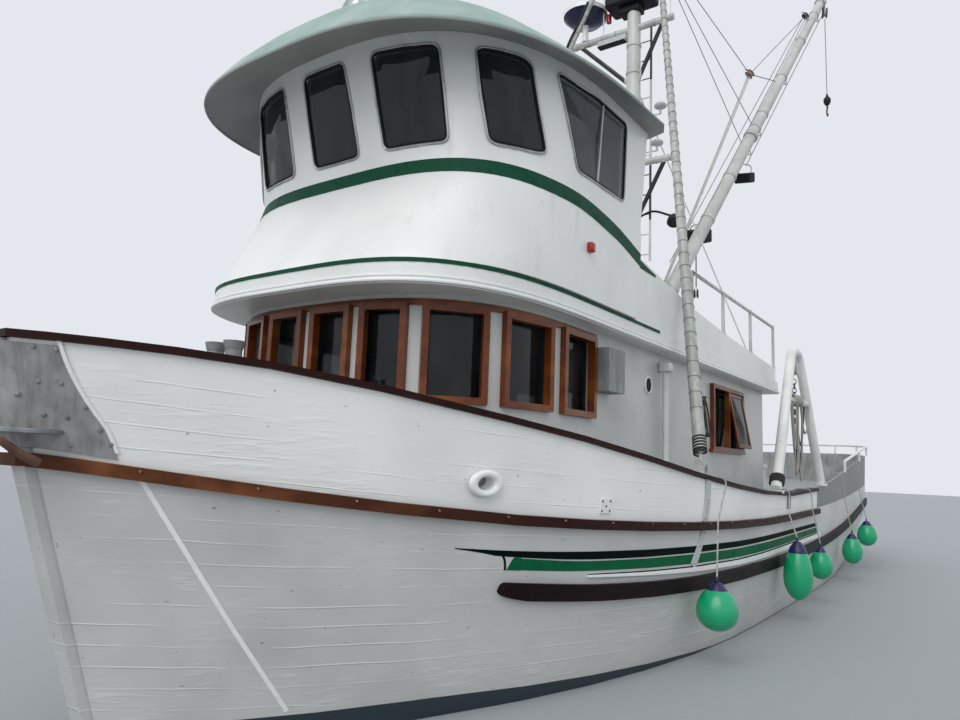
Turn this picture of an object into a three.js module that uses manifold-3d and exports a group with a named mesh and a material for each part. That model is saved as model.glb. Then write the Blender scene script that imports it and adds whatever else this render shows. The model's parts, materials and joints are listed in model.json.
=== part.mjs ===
import * as THREE from 'three';
import { mergeVertices } from 'three/addons/utils/BufferGeometryUtils.js';
import Module from 'manifold-3d';

const wasm = await Module();
wasm.setup();

// Millimetres. +X is the bow, +Y is port, +Z is up. The origin is amidships on the waterline.
const gap = 0.4; // between touching pieces
const pinGap = 6; // beside a hinge pin

// Hull form
const length = 19760; // stem to transom along the deck
const stemDeckX = 9760;
const stemDeckZ = 2000;
const stemRake = 0.33; // forward per unit of height
const transomRake = 0.139; // aft per unit of height
const halfBeam = 2550;
const sternHalf = 2300;
const quarterRadius = 800;
const bowLength = 8250;
const stemInset = 70; // planking starts this far aft of the stem's face
const coveringBoard = 320;
const camber = 70;
const flatDeckFrom = 19560; // no camber under the stern bulwark
const hullLevels = 9;
// Stations, as distances aft of the stem
const stations = [70, 220, 450, 800, 1300, 2000, 3060, 3900, 4800, 5800, 7000, 8250, 9760, 11760, 13200, 14700,
  16000, 17200, 18200, 18960, 19320, 19560, 19700, 19760];

// Deck edge: x, height
const deckEdge = [[-10000, 1850], [-8000, 1720], [-5000, 1560], [-2000, 1450], [0, 1425], [2000, 1430],
  [4500, 1490], [6700, 1610], [8300, 1780], [9760, 2000]];
// Top of the planked bulwark: x, height
const bulwarkTop = [[-2000, 1740], [-1200, 1690], [500, 1700], [2200, 1780], [3800, 1945], [4500, 2040],
  [5500, 2200], [6300, 2310], [7400, 2470], [8500, 2620], [9990, 2720]];
// Top of the steel bulwark aft: x, height
const sternBulwarkTop = [[-10100, 2600], [-8000, 2420], [-5000, 2090], [-3400, 1900], [-2000, 1790]];
// Underside of the planking where it meets the keel: distance aft of the stem, height
const rabbet = [[70, -1250], [3000, -1330], [9760, -1350], [14000, -1250], [16000, -950], [17500, -520],
  [18300, -250], [19000, -60], [19760, 150]];
// Lower guard: x, height
const lowerGuardLine = [[-9300, 1400], [-8000, 1290], [-4500, 975], [-1000, 815], [3500, 815], [5400, 875],
  [6900, 1000]];
const lowerGuardHalf = 88;
const plankedAft = -2000; // the timber bulwark ends here and the steel one starts
const bulwarkWall = 90;
const steelWall = 50;
const steelFlare = 0.02;
const capWidth = 175;
const capHeight = 50;
const guardDepth = 60;
const guardHeight = 92;
const bulwarkFlare = 0.04; // outward per unit of height above the deck edge
const hawse = { x: 6944, z: 1867, hole: 95, stretch: 1.35 }; // stretch is width over height

// Keel, rudder and propeller
const keelHalf = 130;
const stemHalf = 90;
const sternpostX = -7650;
const shoeTop = -2200;
const rudderX = -8950;
const rudderChord = [-9550, -8650]; // trailing and leading edge
const rudderSpan = [-2090, -330];
const shaftZ = -1400;
const propellerX = -8060;
const propellerRadius = 640;

// Deckhouse
const deckTop = 1300; // below the lowest point of the deck
const houseTop = 3460;
const houseWall = 70;
const planSteps = 36; // round the front of a house
const house = { front: 7380, half: 1720, mid: 5500, power: 2.9, aft: -1800 };
const sill = 2520;
const head = 3375;
const frameWidth = 60;
const frameProud = 22;
// Front windows by distance off the centreline, side windows by x: from, to
const frontWindows = [[55, 535], [625, 1060], [1155, 1545]];
const sideWindows = [[5890, 6560], [5010, 5700]];
const galleyWindow = { x: [-430, 1150], z: [2320, 3310] };
const porthole = { x: 3510, z: 3030, radius: 110 };
const aftDoor = { y: [-950, -250], z: [1760, 3330], thickness: 45 };

// Boat deck and pilothouse
const boatDeckTop = 3680;
const boatDeck = { front: 7730, half: 1900, mid: 5200, power: 3.5, aft: -2200 };
const pilotWall = 60;
const pilotAft = 4350;
const pilotTop = 5850;
// Pilothouse wall, from the skirt up: height and plan
const pilotPlans = [
  { z: boatDeckTop + gap, front: 7690, half: 1935, mid: 5100, power: 3.5, aft: pilotAft },
  { z: 4580, front: 7180, half: 1975, mid: 5000, power: 3.5, aft: pilotAft },
  { z: 4740, front: 7140, half: 1965, mid: 5000, power: 3.4, aft: pilotAft },
  { z: pilotTop, front: 7480, half: 2040, mid: 5000, power: 2.7, aft: pilotAft },
];
const pilotSill = 4890;
const pilotHead = 5720;
// Pilothouse front windows: distance off the centreline at the sill, then at the head
const pilotFrontWindows = [
  { sill: [-300, 300], head: [-270, 270] },
  { sill: [630, 1250], head: [610, 1230] },
  { sill: [1565, 1860], head: [1505, 1805] },
];
// Pilothouse side window: corners as x, z
const pilotSideWindow = [[4850, pilotSill], [5840, pilotSill], [6230, pilotHead], [4915, pilotHead]];
const pilotDoor = { y: [250, 950], z: [3760, 5620], thickness: 45 };
const brim = { front: 8050, half: 2285, mid: 5000, power: 2.9, aft: 4180 };
const brimFrontZ = 5600;
const brimAftZ = 5860;
const brimCorner = 280;
// Roof above its brim: share of the way in from the edge to the middle, share of the full rise
const domeRings = [[0, 0.05], [0.06, 0.28], [0.17, 0.62], [0.4, 0.9], [0.68, 1]];
const domeMiddle = 6000;
const domeFrontRise = 780;
const domeAftRise = 300;

// Mast, boom and poles
const mast = { x: 100, base: boatDeckTop + gap, top: 13200, radius: [160, 105] };
const upperArm = { z: 10100, port: 760, starboard: -1300, radius: 62 };
const lowerArm = { z: 7450, port: 800, starboard: -800, radius: 62 };
const boomPivotZ = 5000;
const boomReach = 800; // mast axis to the topping pin
const boomAzimuth = 2.7429; // radians, swung to port of straight aft
const boomElevation = 1.0015;
const boomLength = 9500;
const pole = { x: 3680, y: 2430, lean: [-2710, -1500, 7330], length: 9900, radius: [75, 45] };
const poleEye = 54; // half-width of the eye between the ears
const gallowsRadius = 80;

const paint = (color, roughness = 0.45, metalness = 0) =>
  new THREE.MeshStandardMaterial({ color, roughness, metalness });
const whitePaint = paint(0xdfe2e0);
const housePaint = paint(0xe6e8e7);
const greenPaint = paint(0x3f6b58);
const varnish = paint(0x5a2a17, 0.35);
const darkTimber = paint(0x3a1d14, 0.5);
const bareSteel = paint(0x9a9d9c, 0.5, 0.8);
const galvanised = paint(0xa9adab, 0.55, 0.7);
const bronze = paint(0x8a6a3a, 0.4, 0.9);
const rust = paint(0x5c4034, 0.85);
const bottomPaint = paint(0x1c2a33, 0.7);
const darkGlass = paint(0x20262a, 0.08);
darkGlass.transparent = true;
darkGlass.opacity = 0.5;
const radomeBlue = paint(0x1d2742, 0.3);
const fenderGreen = paint(0x12a06c, 0.4);

const boat = new THREE.Group();

function add(name, geometry, material, parent = boat) {
  const mesh = new THREE.Mesh(geometry, material);
  mesh.name = name;
  parent.add(mesh);
  return mesh;
}

// Value of a table of [x, value] rows at x, on a smooth curve through the rows
function fair(table, x) {
  const last = table.length - 1;
  if (x <= table[0][0]) return table[0][1];
  if (x >= table[last][0]) return table[last][1];
  const i = table.findIndex((row) => row[0] > x) - 1;
  const slope = (k) => {
    const a = table[Math.max(k - 1, 0)];
    const b = table[Math.min(k + 1, last)];
    return (b[1] - a[1]) / (b[0] - a[0]);
  };
  const [x0, y0] = table[i];
  const [x1, y1] = table[i + 1];
  const w = x1 - x0;
  const t = (x - x0) / w;
  return y0 * (1 + 2 * t) * (1 - t) ** 2 + y1 * t * t * (3 - 2 * t)
    + w * (slope(i) * t * (1 - t) ** 2 + slope(i + 1) * t * t * (t - 1));
}

// Closed solid from rings of equal length. Ends are fans, or ladders across a symmetrical ring.
function loft(rings, { cap = 'fan', around = false } = {}) {
  const n = rings[0].length;
  const positions = rings.flat(2);
  const index = [];
  const at = (r, k) => (r % rings.length) * n + (k % n);
  const spans = around ? rings.length : rings.length - 1;
  for (let r = 0; r < spans; r += 1) {
    for (let k = 0; k < n; k += 1) {
      index.push(at(r, k), at(r, k + 1), at(r + 1, k + 1), at(r, k), at(r + 1, k + 1), at(r + 1, k));
    }
  }
  const end = (r, flip) => {
    const face = (a, b, c) => index.push(...(flip ? [a, c, b] : [a, b, c]).map((k) => at(r, k)));
    if (cap === 'fan') {
      for (let k = 1; k < n - 1; k += 1) face(0, k + 1, k);
      return;
    }
    const half = (n - 1) / 2;
    for (let k = 0; k < half; k += 1) {
      face(k, n - 1 - k, k + 1);
      if (k + 1 < half) face(k + 1, n - 1 - k, n - 2 - k);
    }
  };
  if (!around) {
    end(0, false);
    end(rings.length - 1, true);
  }
  const geometry = new THREE.BufferGeometry();
  geometry.setAttribute('position', new THREE.Float32BufferAttribute(positions, 3));
  geometry.setIndex(volume(positions, index) < 0 ? index.reverse() : index);
  geometry.computeVertexNormals();
  return geometry;
}

function volume(positions, index) {
  const point = (k) => new THREE.Vector3().fromArray(positions, 3 * k);
  let sum = 0;
  for (let k = 0; k < index.length; k += 3) {
    sum += point(index[k]).dot(point(index[k + 1]).cross(point(index[k + 2])));
  }
  return sum / 6;
}

function toSolid(geometry) {
  const bare = geometry.clone();
  bare.deleteAttribute('normal');
  bare.deleteAttribute('uv');
  const merged = mergeVertices(bare, 1e-3);
  return new wasm.Manifold(new wasm.Mesh({
    numProp: 3,
    vertProperties: new Float32Array(merged.attributes.position.array),
    triVerts: new Uint32Array(merged.index.array),
  }));
}

function toGeometry(solid) {
  const { vertProperties, triVerts } = solid.getMesh();
  const geometry = new THREE.BufferGeometry();
  geometry.setAttribute('position', new THREE.BufferAttribute(new Float32Array(vertProperties), 3));
  geometry.setIndex(new THREE.BufferAttribute(new Uint32Array(triVerts), 1));
  geometry.computeVertexNormals();
  return geometry;
}

const join = (...pieces) => toGeometry(pieces.map(toSolid).reduce((whole, piece) => whole.add(piece)));
const cut = (body, ...tools) => {
  const solids = tools.map(toSolid);
  return toGeometry(solids.reduce((whole, tool) => whole.subtract(tool), toSolid(body)));
};

// The largest body of a cut piece, without its offcuts
function largest(geometry) {
  const bodies = toSolid(geometry).decompose();
  return toGeometry(bodies.reduce((best, body) => (body.volume() > best.volume() ? body : best)));
}

const box = (x, y, z) => new THREE.BoxGeometry(x[1] - x[0], y[1] - y[0], z[1] - z[0])
  .translate((x[0] + x[1]) / 2, (y[0] + y[1]) / 2, (z[0] + z[1]) / 2);

// Round bar from a to b, tapering from one radius to the other
function rod(a, b, radius, endRadius = radius, sides = 12) {
  const from = new THREE.Vector3(...a);
  const way = new THREE.Vector3(...b).sub(from);
  const turn = new THREE.Quaternion().setFromUnitVectors(new THREE.Vector3(0, 1, 0), way.clone().normalize());
  return new THREE.CylinderGeometry(endRadius, radius, way.length(), sides)
    .translate(0, way.length() / 2, 0).applyQuaternion(turn).translate(...a);
}

// Pipe through points, its sharp corners bent to a radius
function pipe(points, radius, sides = 10, bend = 0, around = false) {
  const path = [];
  points.forEach((point, k) => {
    const here = new THREE.Vector3(...point);
    if (!bend || k === 0 || k === points.length - 1) {
      path.push(here);
      return;
    }
    const back = new THREE.Vector3(...points[k - 1]).sub(here).normalize();
    const on = new THREE.Vector3(...points[k + 1]).sub(here).normalize();
    for (let j = 0; j <= 4; j += 1) {
      const t = j / 4;
      path.push(here.clone().addScaledVector(back, bend * (1 - t) ** 2).addScaledVector(on, bend * t * t));
    }
  });
  const count = path.length;
  const at = (k) => path[around ? (k + count) % count : Math.min(Math.max(k, 0), count - 1)];
  const tangents = path.map((_, k) => at(k + 1).clone().sub(at(k - 1)).normalize());
  const start = Math.abs(tangents[0].z) > 0.9 ? new THREE.Vector3(1, 0, 0) : new THREE.Vector3(0, 0, 1);
  let side = start.cross(tangents[0]).normalize();
  return loft(path.map((point, k) => {
    side = side.clone().addScaledVector(tangents[k], -side.dot(tangents[k])).normalize();
    const up = tangents[k].clone().cross(side);
    return Array.from({ length: sides }, (_, j) => {
      const angle = (2 * Math.PI * j) / sides;
      const rim = point.clone().addScaledVector(side, radius * Math.cos(angle));
      return rim.addScaledVector(up, radius * Math.sin(angle)).toArray();
    });
  }), { around });
}

// Open line moved sideways in plan, to the left of its direction
function offset(line, distance) {
  return line.map((point, k) => {
    const before = line[Math.max(k - 1, 0)];
    const after = line[Math.min(k + 1, line.length - 1)];
    const a = new THREE.Vector2(point[0] - before[0], point[1] - before[1]);
    const b = new THREE.Vector2(after[0] - point[0], after[1] - point[1]);
    if (a.length() === 0) a.copy(b);
    if (b.length() === 0) b.copy(a);
    a.normalize();
    b.normalize();
    const bisector = a.clone().add(b).normalize();
    const reach = distance / Math.max(bisector.dot(a), 0.5);
    return [point[0] - bisector.y * reach, point[1] + bisector.x * reach];
  });
}

// Shift along the boat of the point at distance d aft of the stem, at height z
function rakeShift(d, z) {
  const bow = stemRake * (z - stemDeckZ) - 0.00055 * Math.min(z + 300, 0) ** 2;
  const stern = -transomRake * (z - stemDeckZ);
  return bow * (1 - d / length) + stern * (d / length);
}

// Half-breadth of the deck: full bow, straight middle, taper and rounded quarter aft
function deckHalf(d) {
  const bow = 1 - Math.max(1 - d / bowLength, 0) ** 2.3;
  const x = stemDeckX - d;
  const taper = Math.max(plankedAft - x, 0) / 8000;
  const half = halfBeam * bow ** 0.787 - (halfBeam - sternHalf) * taper * taper;
  const turn = Math.min(Math.max((-9200 - x) / quarterRadius, 0), 1);
  return half - quarterRadius * (1 - Math.sqrt(1 - turn * turn));
}

// Share of the deck's half-breadth at t, from the keel at 0 to the deck at 1
const sectionShape = (t) => (1 - (1 - t) ** 3.6) ** (1 / 1.7);

function hullSection(d, grow) {
  const x = stemDeckX - d;
  const deckZ = fair(deckEdge, x) + grow;
  const low = fair(rabbet, d) - grow;
  const side = [];
  for (let k = 0; k <= hullLevels; k += 1) {
    const t = (k / hullLevels) ** 1.25;
    const z = low + (deckZ - low) * t;
    const half = Math.max(deckHalf(d) * sectionShape(t), 60) + grow;
    side.push([x + rakeShift(d, z), half, z]);
  }
  const edge = side[hullLevels];
  const inner = Math.max(edge[1] - coveringBoard, 20);
  side.push([edge[0], inner, deckZ]);
  const flatEnd = d >= flatDeckFrom ? 0 : 1;
  const centre = [edge[0], 0, deckZ + (flatEnd * camber * inner) / halfBeam];
  return [...side, centre, ...side.map(([px, py, pz]) => [px, -py, pz]).reverse()];
}

function hullBody(grow = 0) {
  const rings = stations.map((d) => hullSection(d, grow));
  const push = (ring, dx) => ring.map(([x, y, z]) => [x + dx, y, z]);
  rings[0] = push(rings[0], grow);
  rings[rings.length - 1] = push(rings[rings.length - 1], -grow);
  return loft(rings, { cap: 'ladder' });
}

// Half-breadth of the planking at a station and height, read between its levels
function planking(d, z) {
  const side = hullSection(d, 0).slice(0, hullLevels + 1);
  const k = Math.min(Math.max(side.findIndex((p) => p[2] > z), 1), hullLevels);
  const t = (z - side[k - 1][2]) / (side[k][2] - side[k - 1][2]);
  return side[k - 1].map((value, axis) => value + (side[k][axis] - value) * t);
}

// Line of the topsides above the deck edge at one height rule, from port aft round the bow to starboard aft
function topsides(list, heightAt, flare) {
  const port = list.map((d) => {
    const z = heightAt(stemDeckX - d);
    const rise = z - fair(deckEdge, stemDeckX - d);
    return [stemDeckX - d + rakeShift(d, z), Math.max(deckHalf(d), 110) + flare * rise, z];
  }).reverse();
  return [...port, ...port.map(([x, y, z]) => [x, -y, z]).reverse()];
}

// Wall between two lines, thickened inboard. Lines run port, bow, starboard or port, stern, starboard.
function wall(low, high, thickness, outboard = 0) {
  const lowOut = offset(low, outboard);
  const highOut = offset(high, outboard);
  const lowIn = offset(low, -thickness);
  const highIn = offset(high, -thickness);
  return loft(low.map((_, k) => [[...lowOut[k], low[k][2]], [...highOut[k], high[k][2]],
    [...highIn[k], high[k][2]], [...lowIn[k], low[k][2]]]));
}

const plankedStations = stations.filter((d) => stemDeckX - d >= plankedAft);
const steelStations = [stemDeckX - plankedAft + 30, ...stations.filter((d) => stemDeckX - d < plankedAft)];
const deckLine = (x) => fair(deckEdge, x) + 2 * gap;
const towardsStern = (line) => line.map(([x, y, z]) => [x, -y, z]);

// Plan outline of a house, from port aft round the front to starboard aft
function housePlan(plan, shrink = 0) {
  const front = plan.front - shrink;
  const half = plan.half - shrink;
  const points = [[plan.aft + shrink, half]];
  for (let k = 0; k <= planSteps; k += 1) {
    const angle = Math.PI / 2 - (Math.PI * k) / planSteps;
    const round = (value) => Math.sign(value) * Math.abs(value) ** (2 / plan.power);
    const forward = round(Math.max(Math.cos(angle), 0));
    points.push([plan.mid + (front - plan.mid) * forward, half * round(Math.sin(angle))]);
  }
  points.push([plan.aft + shrink, -half]);
  return points;
}

// The same outline moved inboard by an even wall thickness
function insetPlan(plan, inset) {
  const line = offset(housePlan(plan), -inset);
  line[0][0] = plan.aft + inset;
  line[line.length - 1][0] = plan.aft + inset;
  return line;
}

const planHalf = (plan, x) => {
  const t = Math.max(x - plan.mid, 0) / (plan.front - plan.mid);
  return plan.half * (1 - t ** plan.power) ** (1 / plan.power);
};
const planFront = (plan, y) => plan.mid
  + (plan.front - plan.mid) * (1 - (Math.abs(y) / plan.half) ** plan.power) ** (1 / plan.power);

// Upright slab from a plan outline
function slab(outline, z0, z1) {
  const shape = new THREE.Shape(outline.map(([x, y]) => new THREE.Vector2(x, y)));
  return new THREE.ExtrudeGeometry(shape, { depth: z1 - z0, bevelEnabled: false }).translate(0, 0, z0);
}

// Prism through a wall. a and b are plan points on its face; the outline is in (along, height).
function through(a, b, outline, reach, depth) {
  const shape = new THREE.Shape(outline.map(([u, z]) => new THREE.Vector2(u, z)));
  const along = new THREE.Vector3(b[0] - a[0], b[1] - a[1], 0).normalize();
  const outward = new THREE.Vector3(0, 0, 1).cross(along).negate();
  const middle = [(a[0] + b[0]) / 2, (a[1] + b[1]) / 2, 0];
  const turn = new THREE.Matrix4().makeBasis(along, new THREE.Vector3(0, 0, 1), outward);
  return new THREE.ExtrudeGeometry(shape, { depth: reach + depth, bevelEnabled: false })
    .translate(0, 0, -depth).applyMatrix4(turn).translate(...middle);
}

const rectangle = (width, z0, z1, grow = 0) => [[-width / 2 - grow, z0 - grow], [width / 2 + grow, z0 - grow],
  [width / 2 + grow, z1 + grow], [-width / 2 - grow, z1 + grow]];

// Corners of a polygon cut back by straight chamfers
function chamfer(corners, radius) {
  return corners.flatMap((corner, k) => {
    const before = corners[(k + corners.length - 1) % corners.length];
    const after = corners[(k + 1) % corners.length];
    return [before, after].map((other) => {
      const way = [other[0] - corner[0], other[1] - corner[1]];
      const size = Math.hypot(...way);
      return [corner[0] + (way[0] / size) * radius, corner[1] + (way[1] / size) * radius];
    });
  });
}

const distance = (a, b) => Math.hypot(a[0] - b[0], a[1] - b[1]);
const mirrorY = (geometry) => {
  const flipped = geometry.clone().scale(1, -1, 1);
  flipped.setIndex(Array.from(flipped.index.array).reverse());
  return flipped;
};

// Hull and backbone
const hull = hullBody();
const hullCutter = hullBody(gap);
add('hull', hull, whitePaint);

const plankedLow = topsides(plankedStations, deckLine, bulwarkFlare);
const plankedHigh = topsides(plankedStations, (x) => fair(bulwarkTop, x), bulwarkFlare);
const hawseD = stemDeckX - hawse.x - stemRake * (stemDeckZ - hawse.z);
const hawseHalf = deckHalf(hawseD) + bulwarkFlare * 150;
// Slant of the topsides in plan at the hawse
const hawseTurn = Math.atan((deckHalf(hawseD + 200) - deckHalf(hawseD - 200)) / 400);
const hawseHole = (side, grow) => {
  const radius = hawse.hole + grow;
  return new THREE.CylinderGeometry(radius, radius, 700, 16).scale(hawse.stretch, 1, 1)
    .rotateZ(-side * hawseTurn).translate(hawse.x, side * hawseHalf, hawse.z);
};
const plankedWall = wall(plankedLow, plankedHigh, bulwarkWall);
add('bulwark', cut(plankedWall, hawseHole(1, 0), hawseHole(-1, 0)), whitePaint);
const bulwarkCutter = wall(topsides(plankedStations, (x) => fair(deckEdge, x) - 5, bulwarkFlare),
  topsides(plankedStations, (x) => fair(bulwarkTop, x) + gap, bulwarkFlare), bulwarkWall + gap, gap);

// Stem, keel and shoe in profile
const stemFace = (z) => stemDeckX + rakeShift(0, z);
const stemHeights = [2700, 2000, 1200, 400, -300, -700, -1050, -1350, -1600];
const keelProfile = [
  ...stemHeights.map((z) => [stemFace(z), z]),
  [7200, -1800], [6600, -1850], [-9350, -2340], [-9350, shoeTop + 10], [sternpostX, shoeTop + 30],
  [sternpostX, -480], [sternpostX + 900, -700], [6000, -1000], [8000, -600], [8800, 0], [9300, 1800],
  [stemFace(stemDeckZ - 10) - stemInset, stemDeckZ - 10], [stemFace(2700) - stemInset, 2700],
];
const keelShape = new THREE.Shape(keelProfile.map(([x, z]) => new THREE.Vector2(x, z)));
const keelBar = new THREE.ExtrudeGeometry(keelShape, { depth: 2 * keelHalf, bevelEnabled: false })
  .rotateX(Math.PI / 2).translate(0, keelHalf, 0);
const besideStem = [[stemHalf, 400], [-400, -stemHalf]].map((y) => box([8900, 10300], y, [-300, 2800]));
add('keel', largest(cut(keelBar, ...besideStem, hullCutter, bulwarkCutter)), whitePaint);

// Rails and guards along the topsides
const railBand = (list, heightAt, height, outboard, inboard, lift = 0) => {
  const line = topsides(list, heightAt, bulwarkFlare);
  const raise = (dz) => line.map(([x, y, z]) => [x, y, z + dz]);
  return wall(raise(lift), raise(lift + height), inboard, outboard);
};
const capBase = (x) => fair(bulwarkTop, x) + 2;
const capRail = railBand(plankedStations, capBase, capHeight, 35, capWidth - 35);
add('cap_rail', capRail, varnish);

// Guard under the bulwark, outside the planking and the stem
const guardLow = (x) => fair(deckEdge, x) - guardHeight;
const guardLine = topsides(plankedStations, guardLow, 0);
const guardTop = guardLine.map(([x, y, z]) => [x, y, z + guardHeight - 5]);
const guardBand = wall(guardLine, guardTop, 20, guardDepth);
// Yoke round the face of the stem, which carries the guard from one side to the other
const guardYoke = [[stemDeckX - 110, stemFace(2000) + 40], [-stemHalf - 45, stemHalf + 45]];
const stemSlot = box([stemDeckX - 120, stemFace(2000) + 4], [-stemHalf - 3, stemHalf + 3], [1000, 2800]);
const guardNose = box(...guardYoke, [guardLow(9700) + 4, guardLow(9700) + guardHeight - 8]);
add('guard', largest(cut(join(guardBand, guardNose), hullBody(2), stemSlot)), varnish);

const lowerGuardFront = 6700;
const lowerStations = stations.filter((d) => stemDeckX - d <= lowerGuardFront && stemDeckX - d >= -9300);
const lowerGuard = loft(lowerStations.map((d) => {
  const x = stemDeckX - d;
  const z = fair(lowerGuardLine, x);
  const [, low] = planking(d, z - lowerGuardHalf);
  const [px, high] = planking(d, z + lowerGuardHalf);
  const taper = Math.min(1, 0.3 + (lowerGuardFront - x) / 900);
  return [[px, low + 5, z - lowerGuardHalf], [px, low + 5 + 55 * taper, z - lowerGuardHalf + 15],
    [px, high + 5 + 55 * taper, z + lowerGuardHalf - 15], [px, high + 5, z + lowerGuardHalf]];
}));
add('lower_guard_port', lowerGuard, darkTimber);
add('lower_guard_starboard', mirrorY(lowerGuard), darkTimber);

// Steel bulwark round the stern
const steelTop = (x) => fair(sternBulwarkTop, x);
const steelFace = (heightAt, flare) => (
  towardsStern(topsides(steelStations.slice().reverse(), heightAt, flare)));
add('stern_bulwark', wall(steelFace(deckLine, 0), steelFace(steelTop, steelFlare), steelWall), bareSteel);

// Deckhouse with its windows cut through the wall
const outer = housePlan(house);
const houseInside = slab(insetPlan(house, houseWall), deckTop - 10, houseTop + 10);
const houseSolid = cut(slab(outer, deckTop, houseTop), houseInside);
const openings = [];
for (const side of [1, -1]) {
  for (const [from, to] of frontWindows) {
    openings.push([[planFront(house, from), side * from], [planFront(house, to), side * to]]);
  }
  for (const [from, to] of sideWindows) {
    openings.push([[to, side * planHalf(house, to)], [from, side * planHalf(house, from)]]);
  }
}
// Plan points in the order that puts the outward side of through() outside
const clockwise = ([a, b]) => (a[0] * b[1] - b[0] * a[1] > 3000 * (b[1] - a[1]) ? [b, a] : [a, b]);
const frontOpenings = openings.map(clockwise);
const windowHole = ([a, b], z0, z1) => through(a, b, rectangle(distance(a, b), z0, z1, gap), 200, 300);
const windowHoles = frontOpenings.map((opening) => windowHole(opening, sill, head));
const galleyPoints = (side) => clockwise(galleyWindow.x.map((x) => [x, side * house.half]));
const galleyHoles = [1, -1].map((side) => windowHole(galleyPoints(side), ...galleyWindow.z));
const portHole = rod([porthole.x, -2500, porthole.z], [porthole.x, 2500, porthole.z], porthole.radius,
  porthole.radius, 16);
// Doorway with room round the door
const doorway = ({ y, z }, x) => box([x - 100, x + 300], [y[0] - pinGap, y[1] + pinGap],
  [z[0] - pinGap, z[1] + pinGap]);
const aftWall = [house.aft, house.aft + houseWall];
const beforeAftWall = box([house.aft - 10, aftWall[1] + gap], [-house.half - 10, house.half + 10],
  [deckTop - 10, houseTop + 10]);
const houseHoles = [...windowHoles, ...galleyHoles, portHole];
add('deckhouse', largest(cut(houseSolid, ...houseHoles, beforeAftWall, hullCutter)), housePaint);
const aftPanel = box(aftWall, [-house.half, house.half], [deckTop, houseTop]);
add('deckhouse_aft', cut(aftPanel, doorway(aftDoor, house.aft), hullCutter), housePaint);

// Varnished window frames, tied by the trim board over them
const frameOf = ([a, b], z0, z1, divider = false) => {
  const width = distance(a, b);
  const depth = houseWall - 8;
  const ring = cut(through(a, b, rectangle(width, z0, z1), frameProud, depth),
    through(a, b, rectangle(width - 2 * frameWidth, z0 + frameWidth, z1 - frameWidth), 200, 300));
  if (!divider) return ring;
  return join(ring, through(a, b, rectangle(frameWidth, z0 + 10, z1 - 10), frameProud - 4, depth - 4));
};
const plan3 = (line, z) => line.map(([x, y]) => [x, y, z]);
const trimAft = sideWindows[1][0] - 60;
const trimPlan = outer.filter(([x]) => x > trimAft);
trimPlan.unshift([trimAft, planHalf(house, trimAft)]);
trimPlan.push([trimAft, -planHalf(house, trimAft)]);
const trimBoard = wall(plan3(trimPlan, head - 18), plan3(trimPlan, head + 42), -gap, gap + 20);
const frontFrames = frontOpenings.map((opening) => frameOf(opening, sill, head));
add('deckhouse_windows', join(trimBoard, ...frontFrames), varnish);
for (const [side, label] of [[1, 'port'], [-1, 'starboard']]) {
  const frame = frameOf(galleyPoints(side), ...galleyWindow.z, true);
  const [x0, x1] = galleyWindow.x;
  const y = side * (house.half + gap + 22);
  const sillBoard = box([x0 - 60, x1 + 60], [Math.min(y, y + side * 40) - 22, Math.max(y, y + side * 40)],
    [galleyWindow.z[0] - 20, galleyWindow.z[0] + 25]);
  add(`galley_window_${label}`, join(frame, sillBoard), varnish);
}

// Glass behind the house walls
const glassPlan = outer.filter(([x]) => x > galleyWindow.x[0] - 300);
glassPlan.unshift([galleyWindow.x[0] - 60, house.half]);
glassPlan.push([galleyWindow.x[0] - 60, -house.half]);
const paneLine = offset(glassPlan, -(houseWall + 2));
add('deckhouse_glass', wall(plan3(paneLine, 2260), plan3(paneLine, head + 20), 6), darkGlass);

// Boat deck and pilothouse
add('boat_deck', slab(housePlan(boatDeck), houseTop + gap, boatDeckTop), housePaint);
const pilotRing = (plan, inset) => plan3(insetPlan(plan, inset), plan.z);
const planAt = (z) => {
  const k = Math.max(pilotPlans.findIndex((plan) => plan.z >= z), 1);
  const [a, b] = [pilotPlans[k - 1], pilotPlans[k]];
  const t = (z - a.z) / (b.z - a.z);
  const mix = (key) => a[key] + (b[key] - a[key]) * t;
  return { z, front: mix('front'), half: mix('half'), mid: mix('mid'), power: mix('power'), aft: mix('aft') };
};
const pilotOuter = loft(pilotPlans.map((plan) => pilotRing(plan, 0)));
const pilotInner = loft(pilotPlans.map((plan, k) => {
  const past = [-20, 0, 0, 20][k]; // beyond the wall's ends
  return pilotRing({ ...plan, z: plan.z + past }, pilotWall);
}));
// Window corners as distance along its sill line, height
const leaningCorners = (sillEnds, headEnds) => {
  const [[ax, ay], [bx, by]] = sillEnds;
  const width = distance(...sillEnds);
  const along = ([x, y]) => ((x - (ax + bx) / 2) * (bx - ax) + (y - (ay + by) / 2) * (by - ay)) / width;
  return [[-width / 2, pilotSill], [width / 2, pilotSill], [along(headEnds[1]), pilotHead],
    [along(headEnds[0]), pilotHead]];
};
const rounded = (corners) => chamfer(chamfer(corners, 55), 22);
const pilotHoles = [];
for (const { sill: sillYs, head: headYs } of pilotFrontWindows) {
  for (const side of sillYs[0] < 0 ? [1] : [1, -1]) {
    const [sillEnds, headEnds] = [[pilotSill, sillYs], [pilotHead, headYs]].map(([z, ys]) => (
      clockwise(ys.map((y) => [planFront(planAt(z), y), side * y]))));
    pilotHoles.push(through(...sillEnds, rounded(leaningCorners(sillEnds, headEnds)), 400, 400));
  }
}
for (const side of [1, -1]) {
  const outline = new THREE.Shape(rounded(pilotSideWindow).map(([x, z]) => new THREE.Vector2(x, z)));
  pilotHoles.push(new THREE.ExtrudeGeometry(outline, { depth: 800, bevelEnabled: false })
    .rotateX(Math.PI / 2).translate(0, side * 2000 + 400, 0));
}
add('pilothouse', cut(pilotOuter, pilotInner, ...pilotHoles, doorway(pilotDoor, pilotAft)), housePaint);

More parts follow.
